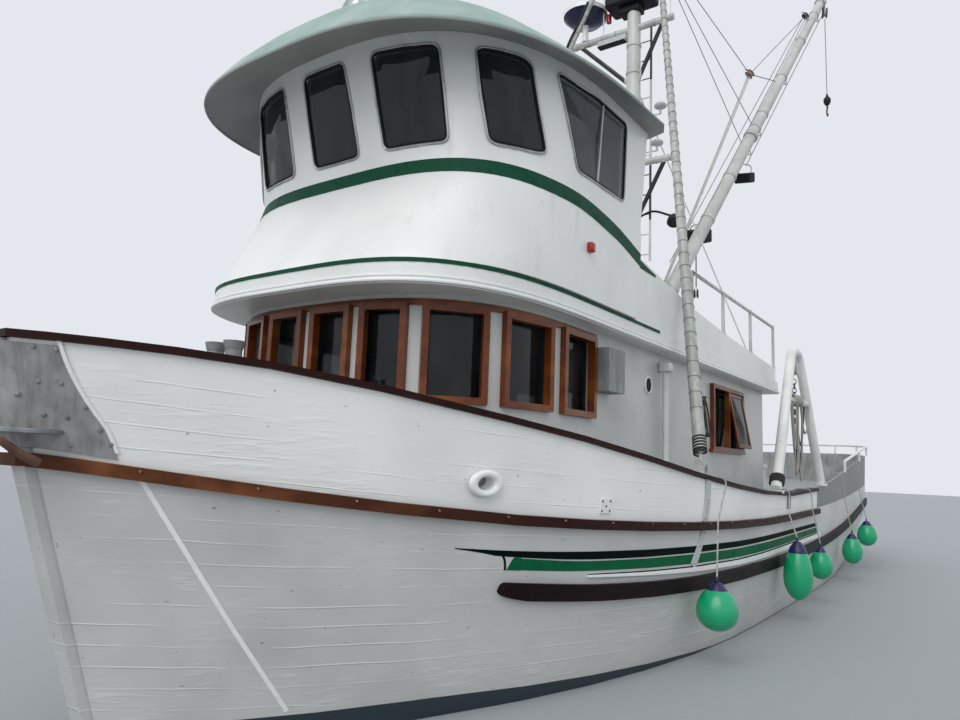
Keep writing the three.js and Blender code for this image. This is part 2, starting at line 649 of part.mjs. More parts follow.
const pilotPane = (z, inset) => {
  const [low, high] = [2, 3].map((k) => insetPlan(pilotPlans[k], inset));
  const t = (z - pilotPlans[2].z) / (pilotTop - pilotPlans[2].z);
  const line = low.map(([x, y], k) => [x + (high[k][0] - x) * t, y + (high[k][1] - y) * t, z]);
  const ends = [line[0], line[line.length - 1]].map(([, y]) => [pilotAft + 400, y, z]);
  return [ends[0], ...line.slice(1, -1), ends[1]];
};
const paneInset = pilotWall + 8;
const paneEdges = [pilotSill - 60, pilotHead + 30].map((z) => pilotPane(z, paneInset));
add('pilothouse_glass', wall(...paneEdges, 6), darkGlass);

// Roof with its drooping brim, rounded at the aft corners
const roundAft = (line, radius) => {
  const corner = ([x, y]) => {
    const side = Math.sign(y);
    return [[x, y - side * radius], [x + radius * 0.29, y - side * radius * 0.29], [x + radius, y]];
  };
  const end = line.length - 1;
  return [...corner(line[0]), ...line.slice(1, end), ...corner(line[end]).reverse()];
};
const brimPlan = roundAft(housePlan(brim, 0), brimCorner);
const domeRing = (inset, share) => brimPlan.map(([edgeX, edgeY]) => {
  const x = edgeX + (domeMiddle - edgeX) * inset;
  const y = edgeY * (1 - inset);
  const t = (brim.front - x) / (brim.front - brim.aft);
  const edge = brimFrontZ + (brimAftZ - brimFrontZ) * t;
  return [x, y, edge + (domeFrontRise + (domeAftRise - domeFrontRise) * t) * share];
});
const roofSeat = roundAft(insetPlan(pilotPlans[3], -5), 20).map(([x, y]) => [x, y, pilotTop + gap]);
const roofRings = [roofSeat, domeRing(0, 0), ...domeRings.map(([inset, share]) => domeRing(inset, share))];
add('pilothouse_roof', loft(roofRings), greenPaint);

// Mast with its arms
const mastRod = rod([mast.x, 0, mast.base], [mast.x, 0, mast.top], ...mast.radius, 14);
const armRods = [upperArm, lowerArm].flatMap(({ z, port, starboard, radius }) => [
  rod([mast.x, starboard, z], [mast.x, port, z], radius, radius, 10),
  rod([mast.x, port - 180, z], [mast.x, 60, z - 1100], 40, 40, 8),
  rod([mast.x, starboard + 180, z], [mast.x, -60, z - 1100], 40, 40, 8),
]);
const mastFoot = rod([mast.x, 0, mast.base], [mast.x, 0, mast.base + 30], 300, 300, 16);
add('mast', join(mastRod, mastFoot, ...armRods), housePaint);
const radomeY = -1010;
const radomeProfile = [[0, 0], [60, 0], [60, 330], [300, 380], [430, 500], [430, 590], [300, 650], [0, 670]];
// Solid of revolution about Z from rows of radius and height
const turned = (profile, sides = 20) => {
  const points = profile.map(([r, z]) => new THREE.Vector2(r, z));
  return new THREE.LatheGeometry(points, sides).rotateX(Math.PI / 2);
};
const radomeZ = upperArm.z + upperArm.radius + gap;
add('radome', turned(radomeProfile).translate(mast.x, radomeY, radomeZ), radomeBlue);

// Top of the bulwark round the boat deck: x, height
const upperTop = [[-2150, 3930], [800, 4080], [2240, 4195], [3380, 4343], [4400, 4490]];

// Shrouds from the mast to the boat deck's bulwark
const shroudX = -350;
for (const [side, label] of [[1, 'port'], [-1, 'starboard']]) {
  const top = [mast.x - 150, side * 60, upperArm.z - 1250];
  const low = [shroudX, side * (boatDeck.half - 55), fair(upperTop, shroudX) + 14];
  add(`shroud_${label}`, rod(top, low, 11, 11, 6), galvanised);
}

// Upper bulwark round the boat deck and its rails
const upperWall = 50;
const upperEnd = pilotAft - gap - 8;
const upperLine = (side, list) => list.map((x) => [x, side * (boatDeck.half - 30), 0]);
const ladderGap = [600, 1300];
const upperXs = [upperEnd, 3380, 2300, 900, -600, boatDeck.aft + 40];
const raised = (line, height) => line.map(([x, y]) => [x, y, height(x)]);
const upperLow = () => boatDeckTop + gap;
const upperHigh = (x) => fair(upperTop, x);
const portLine = [...upperLine(1, upperXs), [boatDeck.aft + 40, ladderGap[1]]];
const starboardLine = [...upperLine(-1, upperXs), [boatDeck.aft + 40, ladderGap[0]]];
const upperBulwark = (line, thickness) => wall(raised(line, upperLow), raised(line, upperHigh), thickness);
add('boat_deck_bulwark_port', upperBulwark(portLine, -upperWall), housePaint);
add('boat_deck_bulwark_starboard', upperBulwark(starboardLine, upperWall), housePaint);
const railZ = 4720;
const railRadius = 26;
for (const [side, label] of [[1, 'port'], [-1, 'starboard']]) {
  const y = side * (boatDeck.half - 30 - upperWall / 2);
  const aftX = boatDeck.aft + 75;
  const posts = [2300, 900, -600, aftX];
  const line = rod([2300, y, railZ], [aftX, y, railZ - 20], railRadius, railRadius, 8);
  const post = (x, top, foot) => rod([x, y, upperHigh(x) + 10], [x, y, top], foot, railRadius, 8);
  const uprights = posts.map((x) => post(x, railZ + 18, railRadius));
  const feet = posts.map((x) => post(x, upperHigh(x) + 25, 50));
  add(`boat_deck_rail_${label}`, join(line, ...uprights, ...feet), galvanised);
}

// Doors hinged on their starboard edge
const slabDoor = ({ y, z, thickness }, wallX, handleZ) => {
  const x = wallX + 50;
  const face = x - thickness;
  const light = box([x - 100, x + 100], [y[0] + 170, y[1] - 170], [z[1] - 720, z[1] - 220]);
  const handle = box([face - 40, face + 5], [y[1] - 95, y[1] - 65], [handleZ - 80, handleZ + 80]);
  return join(cut(box([face, x], y, z), light), handle);
};
add('aft_door', slabDoor(aftDoor, house.aft, 2500), varnish);
add('pilothouse_door', slabDoor(pilotDoor, pilotAft, 4600), whitePaint);
add('helm_console', box([6350, 6750], [-900, 900], [boatDeckTop + gap, 4760]), darkTimber);

// Boom on its swivel at the mast
const boomHeading = [Math.cos(boomAzimuth), Math.sin(boomAzimuth)];
const pivot = [mast.x + boomReach * boomHeading[0], boomReach * boomHeading[1], boomPivotZ];
const swivel = new THREE.Group();
swivel.position.set(mast.x, 0, boomPivotZ);
swivel.rotation.z = boomAzimuth;
boat.add(swivel);
const upright = (half, radius) => rod([0, 0, -half], [0, 0, half], radius, radius, 16);
const collar = cut(upright(130, 235), upright(140, 172));
const lug = rod([boomReach, -22, 0], [boomReach, 22, 0], 95, 95, 14);
add('boom_swivel', join(collar, box([200, boomReach], [-22, 22], [-90, 90]), lug), galvanised, swivel);
const boomGroup = new THREE.Group();
boomGroup.position.set(boomReach, 0, 0);
boomGroup.rotation.y = -boomElevation;
swivel.add(boomGroup);
const cheek = (side) => join(box([-10, 330], side > 0 ? [22 + pinGap, 60] : [-60, -22 - pinGap], [-80, 80]),
  rod([0, side * (22 + pinGap), 0], [0, side * 60, 0], 90, 90, 14));
const boomTube = rod([190, 0, 0], [boomLength, 0, 0], 140, 95, 14);
const tipBand = rod([boomLength - 160, 0, 0], [boomLength - 60, 0, 0], 125, 125, 14);
const midBand = rod([4600, 0, 0], [4700, 0, 0], 150, 150, 14);
add('boom', join(cheek(1), cheek(-1), boomTube, tipBand, midBand), housePaint, boomGroup);

// Outrigger poles in their steps on the rail
for (const [side, label] of [[1, 'port'], [-1, 'starboard']]) {
  const capTop = fair(bulwarkTop, pole.x) + capHeight + gap;
  const foot = [pole.x, side * pole.y, capTop + 110];
  const way = new THREE.Vector3(pole.lean[0], side * pole.lean[1], pole.lean[2]).normalize();
  const along = (length) => foot.map((value, axis) => value + way.getComponent(axis) * length);
  const ears = [-1, 1].map((end) => {
    const face = end * (poleEye + pinGap);
    return join(box([pole.x + Math.min(face, face + end * 20), pole.x + Math.max(face, face + end * 20)],
      [foot[1] - 60, foot[1] + 60], [capTop - 60, capTop + 110]),
    rod([pole.x + face, foot[1], foot[2]], [pole.x + face + end * 20, foot[1], foot[2]], 60, 60, 12));
  });
  const plate = box([pole.x - 130, pole.x + 130], [foot[1] - 62, foot[1] + 62], [capTop - 60, capTop + 22]);
  add(`outrigger_step_${label}`, largest(cut(join(plate, ...ears), capCutter())), galvanised);
  const [eyeAft, eyeFore] = [-poleEye, poleEye].map((dx) => [pole.x + dx, foot[1], foot[2]]);
  const eye = join(rod(eyeAft, eyeFore, 55, 55, 12), rod(along(20), along(220), 24, 24, 10));
  const shaft = rod(along(190), along(pole.length), ...pole.radius, 12);
  add(`outrigger_${label}`, join(eye, shaft), galvanised);
}

function capCutter() {
  return railBand(plankedStations, capBase, capHeight + 60 + gap, 36, capWidth - 34, -60);
}

// Gallows over the rail on each side
const gallowsFeet = [600, -2620];
const gallowsTop = { x: [-1380, -1870], y: 2330, z: 4140 };
const sternCutterTop = steelFace((x) => steelTop(x) + gap, steelFlare);
const sternCutter = wall(steelFace(() => 1400, 0), sternCutterTop, steelWall + gap, gap);
for (const [side, label] of [[1, 'port'], [-1, 'starboard']]) {
  const footAt = (x) => [x, side * (x > plankedAft ? 2500 : 2510),
    (x > plankedAft ? fair(bulwarkTop, x) + capHeight : fair(sternBulwarkTop, x)) - 12];
  const [fore, aft] = gallowsFeet.map(footAt);
  const lifted = ([x, y, z]) => [x, y, z + 62];
  const crown = gallowsTop.x.map((x) => [x, side * gallowsTop.y, gallowsTop.z]);
  const legs = pipe([lifted(fore), ...crown, lifted(aft)], gallowsRadius, 12, 190);
  const part = (a, b, t) => a.map((value, axis) => value + (b[axis] - value) * t);
  const bar = rod(part(fore, crown[0], 0.62), part(aft, crown[1], 0.62), 55, 55, 10);
  const feet = [fore, aft].map((at) => rod(at, [at[0], at[1], at[2] + 40], 115, 115, 14));
  add(`gallows_${label}`, largest(cut(join(legs, bar, ...feet), capCutter(), sternCutter)), housePaint);
}

// Rudder and propeller
const [rudderAft, rudderFore] = rudderChord;
const rudderBlade = loft(rudderSpan.map((z) => [[rudderAft, -20, z], [rudderX, -45, z], [rudderFore, -25, z],
  [rudderFore, 25, z], [rudderX, 45, z], [rudderAft, 20, z]]));
const stock = rod([rudderX, 0, shoeTop + 18], [rudderX, 0, -160], 42, 42, 14);
add('rudder', join(rudderBlade, stock), bottomPaint);
const bladeCount = 4;
const hub = turned([[0, -130], [105, -110], [115, 60], [60, 190], [0, 200]], 16);
const blade = (turn) => {
  const rings = [0.12, 0.45, 0.75, 1].map((share) => {
    const r = propellerRadius * share;
    const chord = 330 * Math.sin(Math.PI * (0.22 + 0.62 * share));
    const pitch = Math.atan(0.32 / Math.max(share, 0.25));
    const [cos, sin] = [Math.cos(pitch), Math.sin(pitch)];
    const twist = (u, w) => [r, u * cos - w * sin, u * sin + w * cos];
    return [twist(-chord / 2, 0), twist(0, -14), twist(chord / 2, 0), twist(0, 14)];
  });
  return loft(rings).rotateZ(turn);
};
const blades = Array.from({ length: bladeCount }, (_, k) => blade((k * 2 * Math.PI) / bladeCount + 0.4));
const tailShaft = rod([0, 0, 0], [0, 0, propellerX - sternpostX + pinGap], 45, 45, 12);
const screw = join(hub, ...blades, tailShaft).rotateY(-Math.PI / 2);
add('propeller', screw, bronze).position.set(propellerX, 0, shaftZ);

// Stainless plate wrapped over the planking and the stem above the guard
const plateStations = [70, 220, 450];
const plateLine = (heightAt) => {
  const line = topsides(plateStations, heightAt, bulwarkFlare);
  const half = line.length / 2;
  const nose = [1, -1].map((side) => {
    const [, , z] = line[half - 1];
    return [stemFace(z) + 4, side * 100, z];
  });
  return [...line.slice(0, half), ...nose, ...line.slice(half)];
};
const plateBand = (grow) => {
  const low = plateLine((x) => fair(deckEdge, x) + 30 - grow);
  return wall(low, plateLine((x) => fair(bulwarkTop, x) - 20 + grow), -3 + grow, 15 + grow);
};
add('bow_plates', plateBand(0), bareSteel);

// Hawse rings lining the holes in the bulwark
const ringBed = cut(bulwarkCutter, hawseHole(1, -3), hawseHole(-1, -3));
// Radius and distance out of the bulwark
const hawseProfile = [[60, -130], [88, -130], [88, 4], [150, 4], [150, 30], [120, 52], [84, 60], [60, 40],
  [60, -130]];
for (const [side, label] of [[1, 'port'], [-1, 'starboard']]) {
  const ring = turned(hawseProfile, 20);
  const outward = new THREE.Matrix4().makeBasis(new THREE.Vector3(1, 0, 0), new THREE.Vector3(0, 0, -side),
    new THREE.Vector3(0, side, 0));
  const solid = ring.scale(hawse.stretch, 1, 1).applyMatrix4(outward);
  solid.rotateZ(-side * hawseTurn).translate(hawse.x, side * (hawseHalf + 12), hawse.z);
  add(`hawse_ring_${label}`, largest(cut(solid, ringBed)), whitePaint);
}

// Pipe rail round the stern bulwark
const railStations = stations.filter((d) => stemDeckX - d < -4600);
const railHeight = 230;
const railTop = topsides(railStations, (x) => steelTop(x) + railHeight, steelFlare);
const railHalf = railTop.length / 2;
const railLine = [...railTop.slice(0, railHalf).reverse(), ...railTop.slice(railHalf).reverse()];
const railPath = offset(railLine, -steelWall / 2).map((point, k) => [...point, railLine[k][2]]);
const railPosts = railPath.filter((_, k) => k % 2 === 0 || k === railPath.length - 1)
  .map(([x, y, z]) => rod([x, y, z - railHeight + 4], [x, y, z], 24, 24, 8));
add('stern_rail', join(pipe(railPath, 30, 8), ...railPosts), housePaint);

// Shelf for the anchor round the stem, and the anchor hung under its starboard side
const shelf = box([9330, 10130], [-430, 430], [2105, 2140]);
add('bow_shelf', largest(cut(shelf, bulwarkCutter, plateBand(1), box([9000, 9900], [-150, 150], [2000, 2300]),
  box([9000, 9420], [-600, 600], [2000, 2300]))), bareSteel);
const shank = rod([10060, -330, 2095], [9900, -420, 1240], 34, 40, 10);
const armPath = [[9790, -230, 1430], [9850, -300, 1290], [9900, -420, 1240], [9960, -560, 1300],
  [9950, -700, 1470]];
const arms = pipe(armPath, 34, 8);
add('anchor', join(shank, arms, rod([9905, -330, 2060], [10215, -330, 2060], 26, 26, 8)), rust);

// A fitting cut to stand on the deck
const standing = (geometry) => largest(cut(geometry, hullCutter));

// Windlass on the foredeck, a drum between two cheeks
const windlass = {
  x: 7950, z: 2190, width: 300, cheek: 40, long: 170, top: 2340, low: 1600, bed: 1860, foot: 30,
};
// Winch frame from its half-width, cheeks and bed
const winchFrame = ({ x, width, cheek, long, top, low, bed, foot }) => {
  const across = [[width, width + cheek], [-width - cheek, -width]];
  const cheeks = across.map((y) => box([x - long, x + long], y, [low, top]));
  const half = width + cheek + 20;
  return standing(join(box([x - long - foot, x + long + foot], [-half, half], [low, bed]), ...cheeks));
};
add('windlass_frame', winchFrame(windlass), galvanised);
const flangeWidth = 25;
const drum = ({ x, z, width }, core, flange) => {
  const out = width - pinGap;
  const inside = out - flangeWidth;
  const profile = [[0, -out], [flange, -out], [flange, -inside], [core, -inside], [core, inside],
    [flange, inside], [flange, out], [0, out]];
  return turned(profile, 20).rotateX(Math.PI / 2).translate(x, 0, z);
};
add('windlass_drum', drum(windlass, 110, 210), rust);

// Twin mooring bitts on the foredeck, side by side
const bitts = { x: 8610, y: 490, spread: 110, top: 2850 };
const bittPosts = [-1, 1].map((end) => {
  const y = bitts.y + end * bitts.spread;
  return join(rod([bitts.x, y, 1700], [bitts.x, y, bitts.top], 62, 62, 12),
    rod([bitts.x, y, bitts.top - 60], [bitts.x, y, bitts.top], 66, 80, 12));
});
const bittBed = box([bitts.x - 120, bitts.x + 120], [bitts.y - 220, bitts.y + 220], [1700, 1960]);
add('foredeck_bitts', standing(join(bittBed, ...bittPosts)), galvanised);

// Trawl winch behind the deckhouse
const winch = {
  x: -2950, z: 2130, width: 620, cheek: 50, long: 260, top: 2330, low: 1400, bed: 1640, foot: 60,
};
add('winch_frame', winchFrame(winch), galvanised);
add('winch_drum', drum(winch, 150, 330), galvanised);

// Fish hold hatch with a hinged lid
const hatch = { x: [-6050, -4650], half: 700, top: 2120 };
const coaming = cut(box(hatch.x, [-hatch.half, hatch.half], [1400, hatch.top]),
  box([hatch.x[0] + 60, hatch.x[1] - 60], [-hatch.half + 60, hatch.half - 60], [1000, 3000]));
add('hatch_coaming', standing(coaming), housePaint);
add('hatch_lid', box([hatch.x[0] - 40, hatch.x[1] + 40], [-hatch.half - 40, hatch.half + 40],
  [hatch.top + pinGap, hatch.top + pinGap + 80]), housePaint);

// Locker and vent pipe on the house side
add('side_locker', box([4610, 5000], [house.half + gap, house.half + 190], [2810, 3270]), galvanised);
const ventPath = [[3130, 1980, 1500], [3130, 1800, 1700], [3130, 1800, 3180], [3130, 1800, 3240]];
add('vent_pipe', pipe(ventPath, 40, 10), whitePaint);

// Searchlight on the roof
const lampFoot = 6287;
const lampPost = rod([7000, 0, lampFoot], [7000, 0, lampFoot + 190], 40, 40, 12);
const lampDrum = rod([6920, 0, lampFoot + 268], [7130, 0, lampFoot + 308], 110, 130, 16);
add('searchlight', join(lampPost, lampDrum), whitePaint);

// Fenders along the port side: x, height of the middle, radius, half-length
for (const [k, [x, z, radius, half]] of [[4130, 640, 275, 300], [590, 720, 200, 420], [-950, 650, 190, 260],
  [-4130, 640, 200, 300], [-6420, 790, 220, 280]].entries()) {
  const arc = Array.from({ length: 9 }, (_, j) => {
    const angle = -Math.PI / 2 + (Math.PI * j) / 8;
    return [radius * Math.max(Math.cos(angle), 0), half * Math.sin(angle)];
  });
  const d = stemDeckX - x;
  const y = planking(d, z)[1] + radius + 75;
  add(`fender_${k + 1}`, turned(arc, 16).translate(x, y, z), fenderGreen);
}

export default boat;
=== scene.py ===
import json
import math

import bmesh
import bpy
import numpy as np
from mathutils import Matrix, Vector


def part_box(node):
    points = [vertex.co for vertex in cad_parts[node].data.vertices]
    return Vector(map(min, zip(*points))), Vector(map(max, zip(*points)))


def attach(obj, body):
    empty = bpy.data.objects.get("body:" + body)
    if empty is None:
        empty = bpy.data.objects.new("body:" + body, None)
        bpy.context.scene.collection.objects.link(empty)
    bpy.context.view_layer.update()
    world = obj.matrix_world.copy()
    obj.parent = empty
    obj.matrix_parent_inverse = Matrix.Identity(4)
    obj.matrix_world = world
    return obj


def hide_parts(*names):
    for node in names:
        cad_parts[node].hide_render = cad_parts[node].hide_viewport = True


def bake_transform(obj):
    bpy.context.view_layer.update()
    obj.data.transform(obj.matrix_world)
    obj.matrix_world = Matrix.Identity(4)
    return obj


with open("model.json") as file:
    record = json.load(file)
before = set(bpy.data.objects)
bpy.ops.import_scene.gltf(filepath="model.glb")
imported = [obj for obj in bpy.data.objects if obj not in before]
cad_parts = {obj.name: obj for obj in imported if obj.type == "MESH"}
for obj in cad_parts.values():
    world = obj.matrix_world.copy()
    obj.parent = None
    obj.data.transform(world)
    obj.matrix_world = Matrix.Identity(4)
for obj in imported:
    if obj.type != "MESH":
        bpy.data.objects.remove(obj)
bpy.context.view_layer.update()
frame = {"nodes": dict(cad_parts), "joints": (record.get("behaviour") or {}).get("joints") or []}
nodes = frame["nodes"]
scene = bpy.context.scene
print("frame loaded")

# Camera, matched to the photograph's vanishing points and to a standing eye on the float dock

camera = {
    "place": (11.9, 5.17, 2.05),
    "heading": 35.43,  # degrees from straight aft, towards starboard
    "pitch": 7.8,
    "roll": 2.2,
    "lens": 27.375,  # on a sensor 36 mm wide
    "clipEnd": 400,
}


def addCamera(view):
    heading, pitch, roll = (math.radians(view[key]) for key in ("heading", "pitch", "roll"))
    level = Vector((-math.cos(heading), -math.sin(heading), 0))
    up = Vector((0, 0, 1))
    right = level.cross(up)
    ahead = level * math.cos(pitch) + up * math.sin(pitch)
    above = right.cross(ahead)
    tiltedRight = right * math.cos(roll) + above * math.sin(roll)
    tiltedUp = above * math.cos(roll) - right * math.sin(roll)
    data = bpy.data.cameras.new("camera")
    data.lens = view["lens"]
    data.sensor_width = 36
    data.clip_end = view["clipEnd"]
    eye = bpy.data.objects.new("camera", data)
    turn = Matrix((tiltedRight, tiltedUp, -ahead)).transposed().to_4x4()
    eye.matrix_world = Matrix.Translation(view["place"]) @ turn
    scene.collection.objects.link(eye)
    scene.camera = eye


def linear(hexText):
    # sRGB hex to linear light
    value = np.array([int(hexText[k : k + 2], 16) for k in (1, 3, 5)]) / 255
    value = np.where(value <= 0.04045, value / 12.92, ((value + 0.055) / 1.055) ** 2.4)
    return (*(float(v) for v in value), 1.0)


def addNode(tree, kind, settings, values):
    # settings are the node's own; values go to its inputs, where a socket is linked; returns its outputs
    node = tree.nodes.new(kind)
    for key, value in settings.items():
        setattr(node, key, value)
    for key, value in values.items():
        if isinstance(value, bpy.types.NodeSocket):
            tree.links.new(value, node.inputs[key])
        else:
            node.inputs[key].default_value = value
    return node.outputs


light = {
    "sky": "#e4e8ee",
    "skyStrength": 1.0,
    "sunStrength": 1.5,
    "sunAngle": 50,  # degrees across, for soft edges
    "sunFrom": (0.85, 0.1, 0.8),
    "floor": "#9a9ea0",
    "floorRoughness": 0.8,
    "floorHalf": 90.0,
}


def addLight(settings):
    world = bpy.data.worlds.new("overcast sky")
    scene.world = world
    world.use_nodes = True
    background = world.node_tree.nodes["Background"]
    background.inputs["Color"].default_value = linear(settings["sky"])
    background.inputs["Strength"].default_value = settings["skyStrength"]
    data = bpy.data.lights.new("bright sky", "SUN")
    data.energy = settings["sunStrength"]
    data.angle = math.radians(settings["sunAngle"])
    lamp = bpy.data.objects.new("bright sky", data)
    lamp.rotation_euler = Vector(settings["sunFrom"]).to_track_quat("Z", "Y").to_euler()
    scene.collection.objects.link(lamp)
    half = settings["floorHalf"]
    corners = [(-half, -half, 0), (half, -half, 0), (half, half, 0), (-half, half, 0)]
    mesh = bpy.data.meshes.new("floor")
    mesh.from_pydata(corners, [], [(0, 1, 2, 3)])
    floor = bpy.data.objects.new("floor", mesh)
    scene.collection.objects.link(floor)
    paper = bpy.data.materials.new("pale floor")
    paper.use_nodes = True
    shader = paper.node_tree.nodes["Principled BSDF"]
    shader.inputs["Base Color"].default_value = linear(settings["floor"])
    shader.inputs["Roughness"].default_value = settings["floorRoughness"]
    mesh.materials.append(paper)


addCamera(camera)
addLight(light)
scene.view_settings.view_transform = "Standard"
print("camera and light ready")

# Finishes


def begin(name, roughness, metallic=0.0, **sockets):
    # New material with its shader's own values; place is the position in the boat's frame, in metres
    material = bpy.data.materials.new(name)
    material.use_nodes = True
    tree = material.node_tree
    shader = tree.nodes["Principled BSDF"]
    shader.inputs["Roughness"].default_value = roughness
    shader.inputs["Metallic"].default_value = metallic
    for key, value in sockets.items():
        shader.inputs[key.replace("_", " ")].default_value = value
    place = addNode(tree, "ShaderNodeTexCoord", {}, {})["Object"]
    return material, tree, shader, place


def patches(tree, place, size, low, high, stretch=(1, 1, 1), detail=4.0):
    # Cloudy mask of patches about size metres wide, 0 where the noise is under low and 1 over high
    stretched = addNode(tree, "ShaderNodeMapping", {}, {"Vector": place, "Scale": stretch})[0]
    fineness = {"Vector": stretched, "Scale": 1 / size, "Detail": detail}
    cloud = addNode(tree, "ShaderNodeTexNoise", {}, fineness)[0]
    return addNode(tree, "ShaderNodeMapRange", {}, {"Value": cloud, "From Min": low, "From Max": high})[0]


def lay(tree, under, top, mask, share=1.0):
    # Colour top over colour under where the mask is 1, at most to share
    amount = addNode(tree, "ShaderNodeMath", {"operation": "MULTIPLY"}, {0: mask, 1: share})[0]
    return addNode(tree, "ShaderNodeMix", {"data_type": "RGBA"}, {0: amount, 6: under, 7: top})[2]


def dress(tree, shader, colour, shine, relief=None, depth=0.001):
    # Joins colour, a mask that spans the roughness (low, high) and a height mask depth metres tall
    tree.links.new(colour, shader.inputs["Base Color"])
    mask, low, high = shine
    span = addNode(tree, "ShaderNodeMapRange", {}, {"Value": mask, "To Min": low, "To Max": high})[0]
    tree.links.new(span, shader.inputs["Roughness"])
    if relief:
        bump = addNode(tree, "ShaderNodeBump", {}, {"Height": relief, "Distance": depth, "Strength": 1.0})[0]
        tree.links.new(bump, shader.inputs["Normal"])


planks = {
    # paint: white enamel given as grey, a painted shade of the flared hull below the guard
    "paint": "#c6c6c2",
    "shade": "#abaca9",
    "grime": "#8f8c80",
    # seam: near white, laid on seams and wrinkles as a painted highlight on the ridges
    "seam": "#f0f0ec",
    "speck": "#4a4641",
    "deck": "#8d9290",
    "bottom": "#26353d",
    "spacing": 0.13,  # width of a plank
    "seamWidth": 0.007,
    "sheer": 0.0052,  # rise of the planks per square metre of distance from amidships
    # Height of the boot top between two distances forward
    "bootTop": {"From Min": 3.0, "From Max": 7.2, "To Min": 0.012, "To Max": 0.17},
    "deckOver": 1.2,
}


def plankingPaint(look):
    # Alkyd enamel brushed on carvel planking: worn satin white, seams that print through as fine ridges,
    # wrinkles along the planks with painted highlights on the ridges, slate bottom paint under the boot top
    # and grey deck paint
    material, tree, shader, place = begin("enamel on planking", 0.45)
    x, _, z = addNode(tree, "ShaderNodeSeparateXYZ", {}, {0: place})
    # Planks rise towards the ends: height less a share of the distance squared
    square = addNode(tree, "ShaderNodeMath", {"operation": "MULTIPLY"}, {0: x, 1: x})[0]
    sheer = addNode(tree, "ShaderNodeMath", {"operation": "MULTIPLY"}, {0: square, 1: look["sheer"]})[0]
    share = addNode(tree, "ShaderNodeMath", {"operation": "MULTIPLY_ADD"}, {0: z, 1: 0.25, 2: 0.35})[0]
    rise = addNode(tree, "ShaderNodeMath", {"operation": "MULTIPLY"}, {0: sheer, 1: share})[0]
    level = addNode(tree, "ShaderNodeMath", {"operation": "SUBTRACT"}, {0: z, 1: rise})[0]
    wander = addNode(tree, "ShaderNodeTexNoise", {}, {"Vector": place, "Scale": 0.7, "Detail": 3.0})[0]
    strake = addNode(tree, "ShaderNodeMath", {"operation": "MULTIPLY_ADD"}, {0: wander, 1: 0.07, 2: level})[0]
    across = addNode(tree, "ShaderNodeMath", {"operation": "DIVIDE"}, {0: strake, 1: look["spacing"]})[0]
    part = addNode(tree, "ShaderNodeMath", {"operation": "PINGPONG"}, {0: across, 1: 0.5})[0]
    toSeam = addNode(tree, "ShaderNodeMath", {"operation": "MULTIPLY"}, {0: part, 1: look["spacing"]})[0]
    reach = {"Value": toSeam, "From Min": look["seamWidth"], "From Max": 0.0}
    seam = addNode(tree, "ShaderNodeMapRange", {}, reach)[0]
    shown = patches(tree, place, 0.5, 0.46, 0.62, (0.35, 1, 2.2))
    shown = addNode(tree, "ShaderNodeMath", {"operation": "MULTIPLY_ADD"}, {0: shown, 1: 0.85, 2: 0.08})[0]
    seam = addNode(tree, "ShaderNodeMath", {"operation": "MULTIPLY"}, {0: seam, 1: shown})[0]
    wrinkle = patches(tree, place, 0.045, 0.5, 0.72, (0.16, 0.16, 1.0), 5.0)
    wrinkled = patches(tree, place, 0.6, 0.48, 0.66, (0.6, 1, 1.4))
    wrinkle = addNode(tree, "ShaderNodeMath", {"operation": "MULTIPLY"}, {0: wrinkle, 1: wrinkled})[0]
    blotch = patches(tree, place, 0.8, 0.4, 0.7, (0.6, 1, 1))
    grime = patches(tree, place, 0.3, 0.6, 0.82, (0.4, 0.4, 1.0), 8.0)
    specks = patches(tree, place, 0.035, 0.765, 0.785, (0.5, 0.5, 1.0), 1.0)
    colour = lay(tree, linear(look["paint"]), linear(look["shade"]), blotch, 0.7)
    colour = lay(tree, colour, linear(look["grime"]), grime, 0.16)
    # Seams and wrinkles painted lighter: a painted highlight on the raised ridges
    colour = lay(tree, colour, linear(look["seam"]), seam, 0.5)
    colour = lay(tree, colour, linear(look["seam"]), wrinkle, 0.25)
    colour = lay(tree, colour, linear(look["speck"]), specks, 0.5)
    # The boot top rises a little towards the bow
    bootTop = addNode(tree, "ShaderNodeMapRange", {}, {"Value": x, **look["bootTop"]})[0]
    below = addNode(tree, "ShaderNodeMath", {"operation": "LESS_THAN"}, {0: z, 1: bootTop})[0]
    colour = lay(tree, colour, linear(look["bottom"]), below)
    normal = addNode(tree, "ShaderNodeNewGeometry", {}, {})["Normal"]
    _, _, upward = addNode(tree, "ShaderNodeSeparateXYZ", {}, {0: normal})
    level = addNode(tree, "ShaderNodeMath", {"operation": "GREATER_THAN"}, {0: upward, 1: 0.9})[0]
    high = addNode(tree, "ShaderNodeMath", {"operation": "GREATER_THAN"}, {0: z, 1: look["deckOver"]})[0]
    onDeck = addNode(tree, "ShaderNodeMath", {"operation": "MULTIPLY"}, {0: level, 1: high})[0]
    colour = lay(tree, colour, linear(look["deck"]), onDeck)
    ridge = addNode(tree, "ShaderNodeMath", {"operation": "MULTIPLY"}, {0: wrinkle, 1: 0.8})[0]
    height = addNode(tree, "ShaderNodeMath", {"operation": "MAXIMUM"}, {0: seam, 1: ridge})[0]
    dress(tree, shader, colour, (blotch, 0.36, 0.55), height, 0.004)
    return material


enamel = {"paint": "#e4e5e1", "shade": "#d3d4d0", "grime": "#9d978a", "rust": "#8a5a3c"}


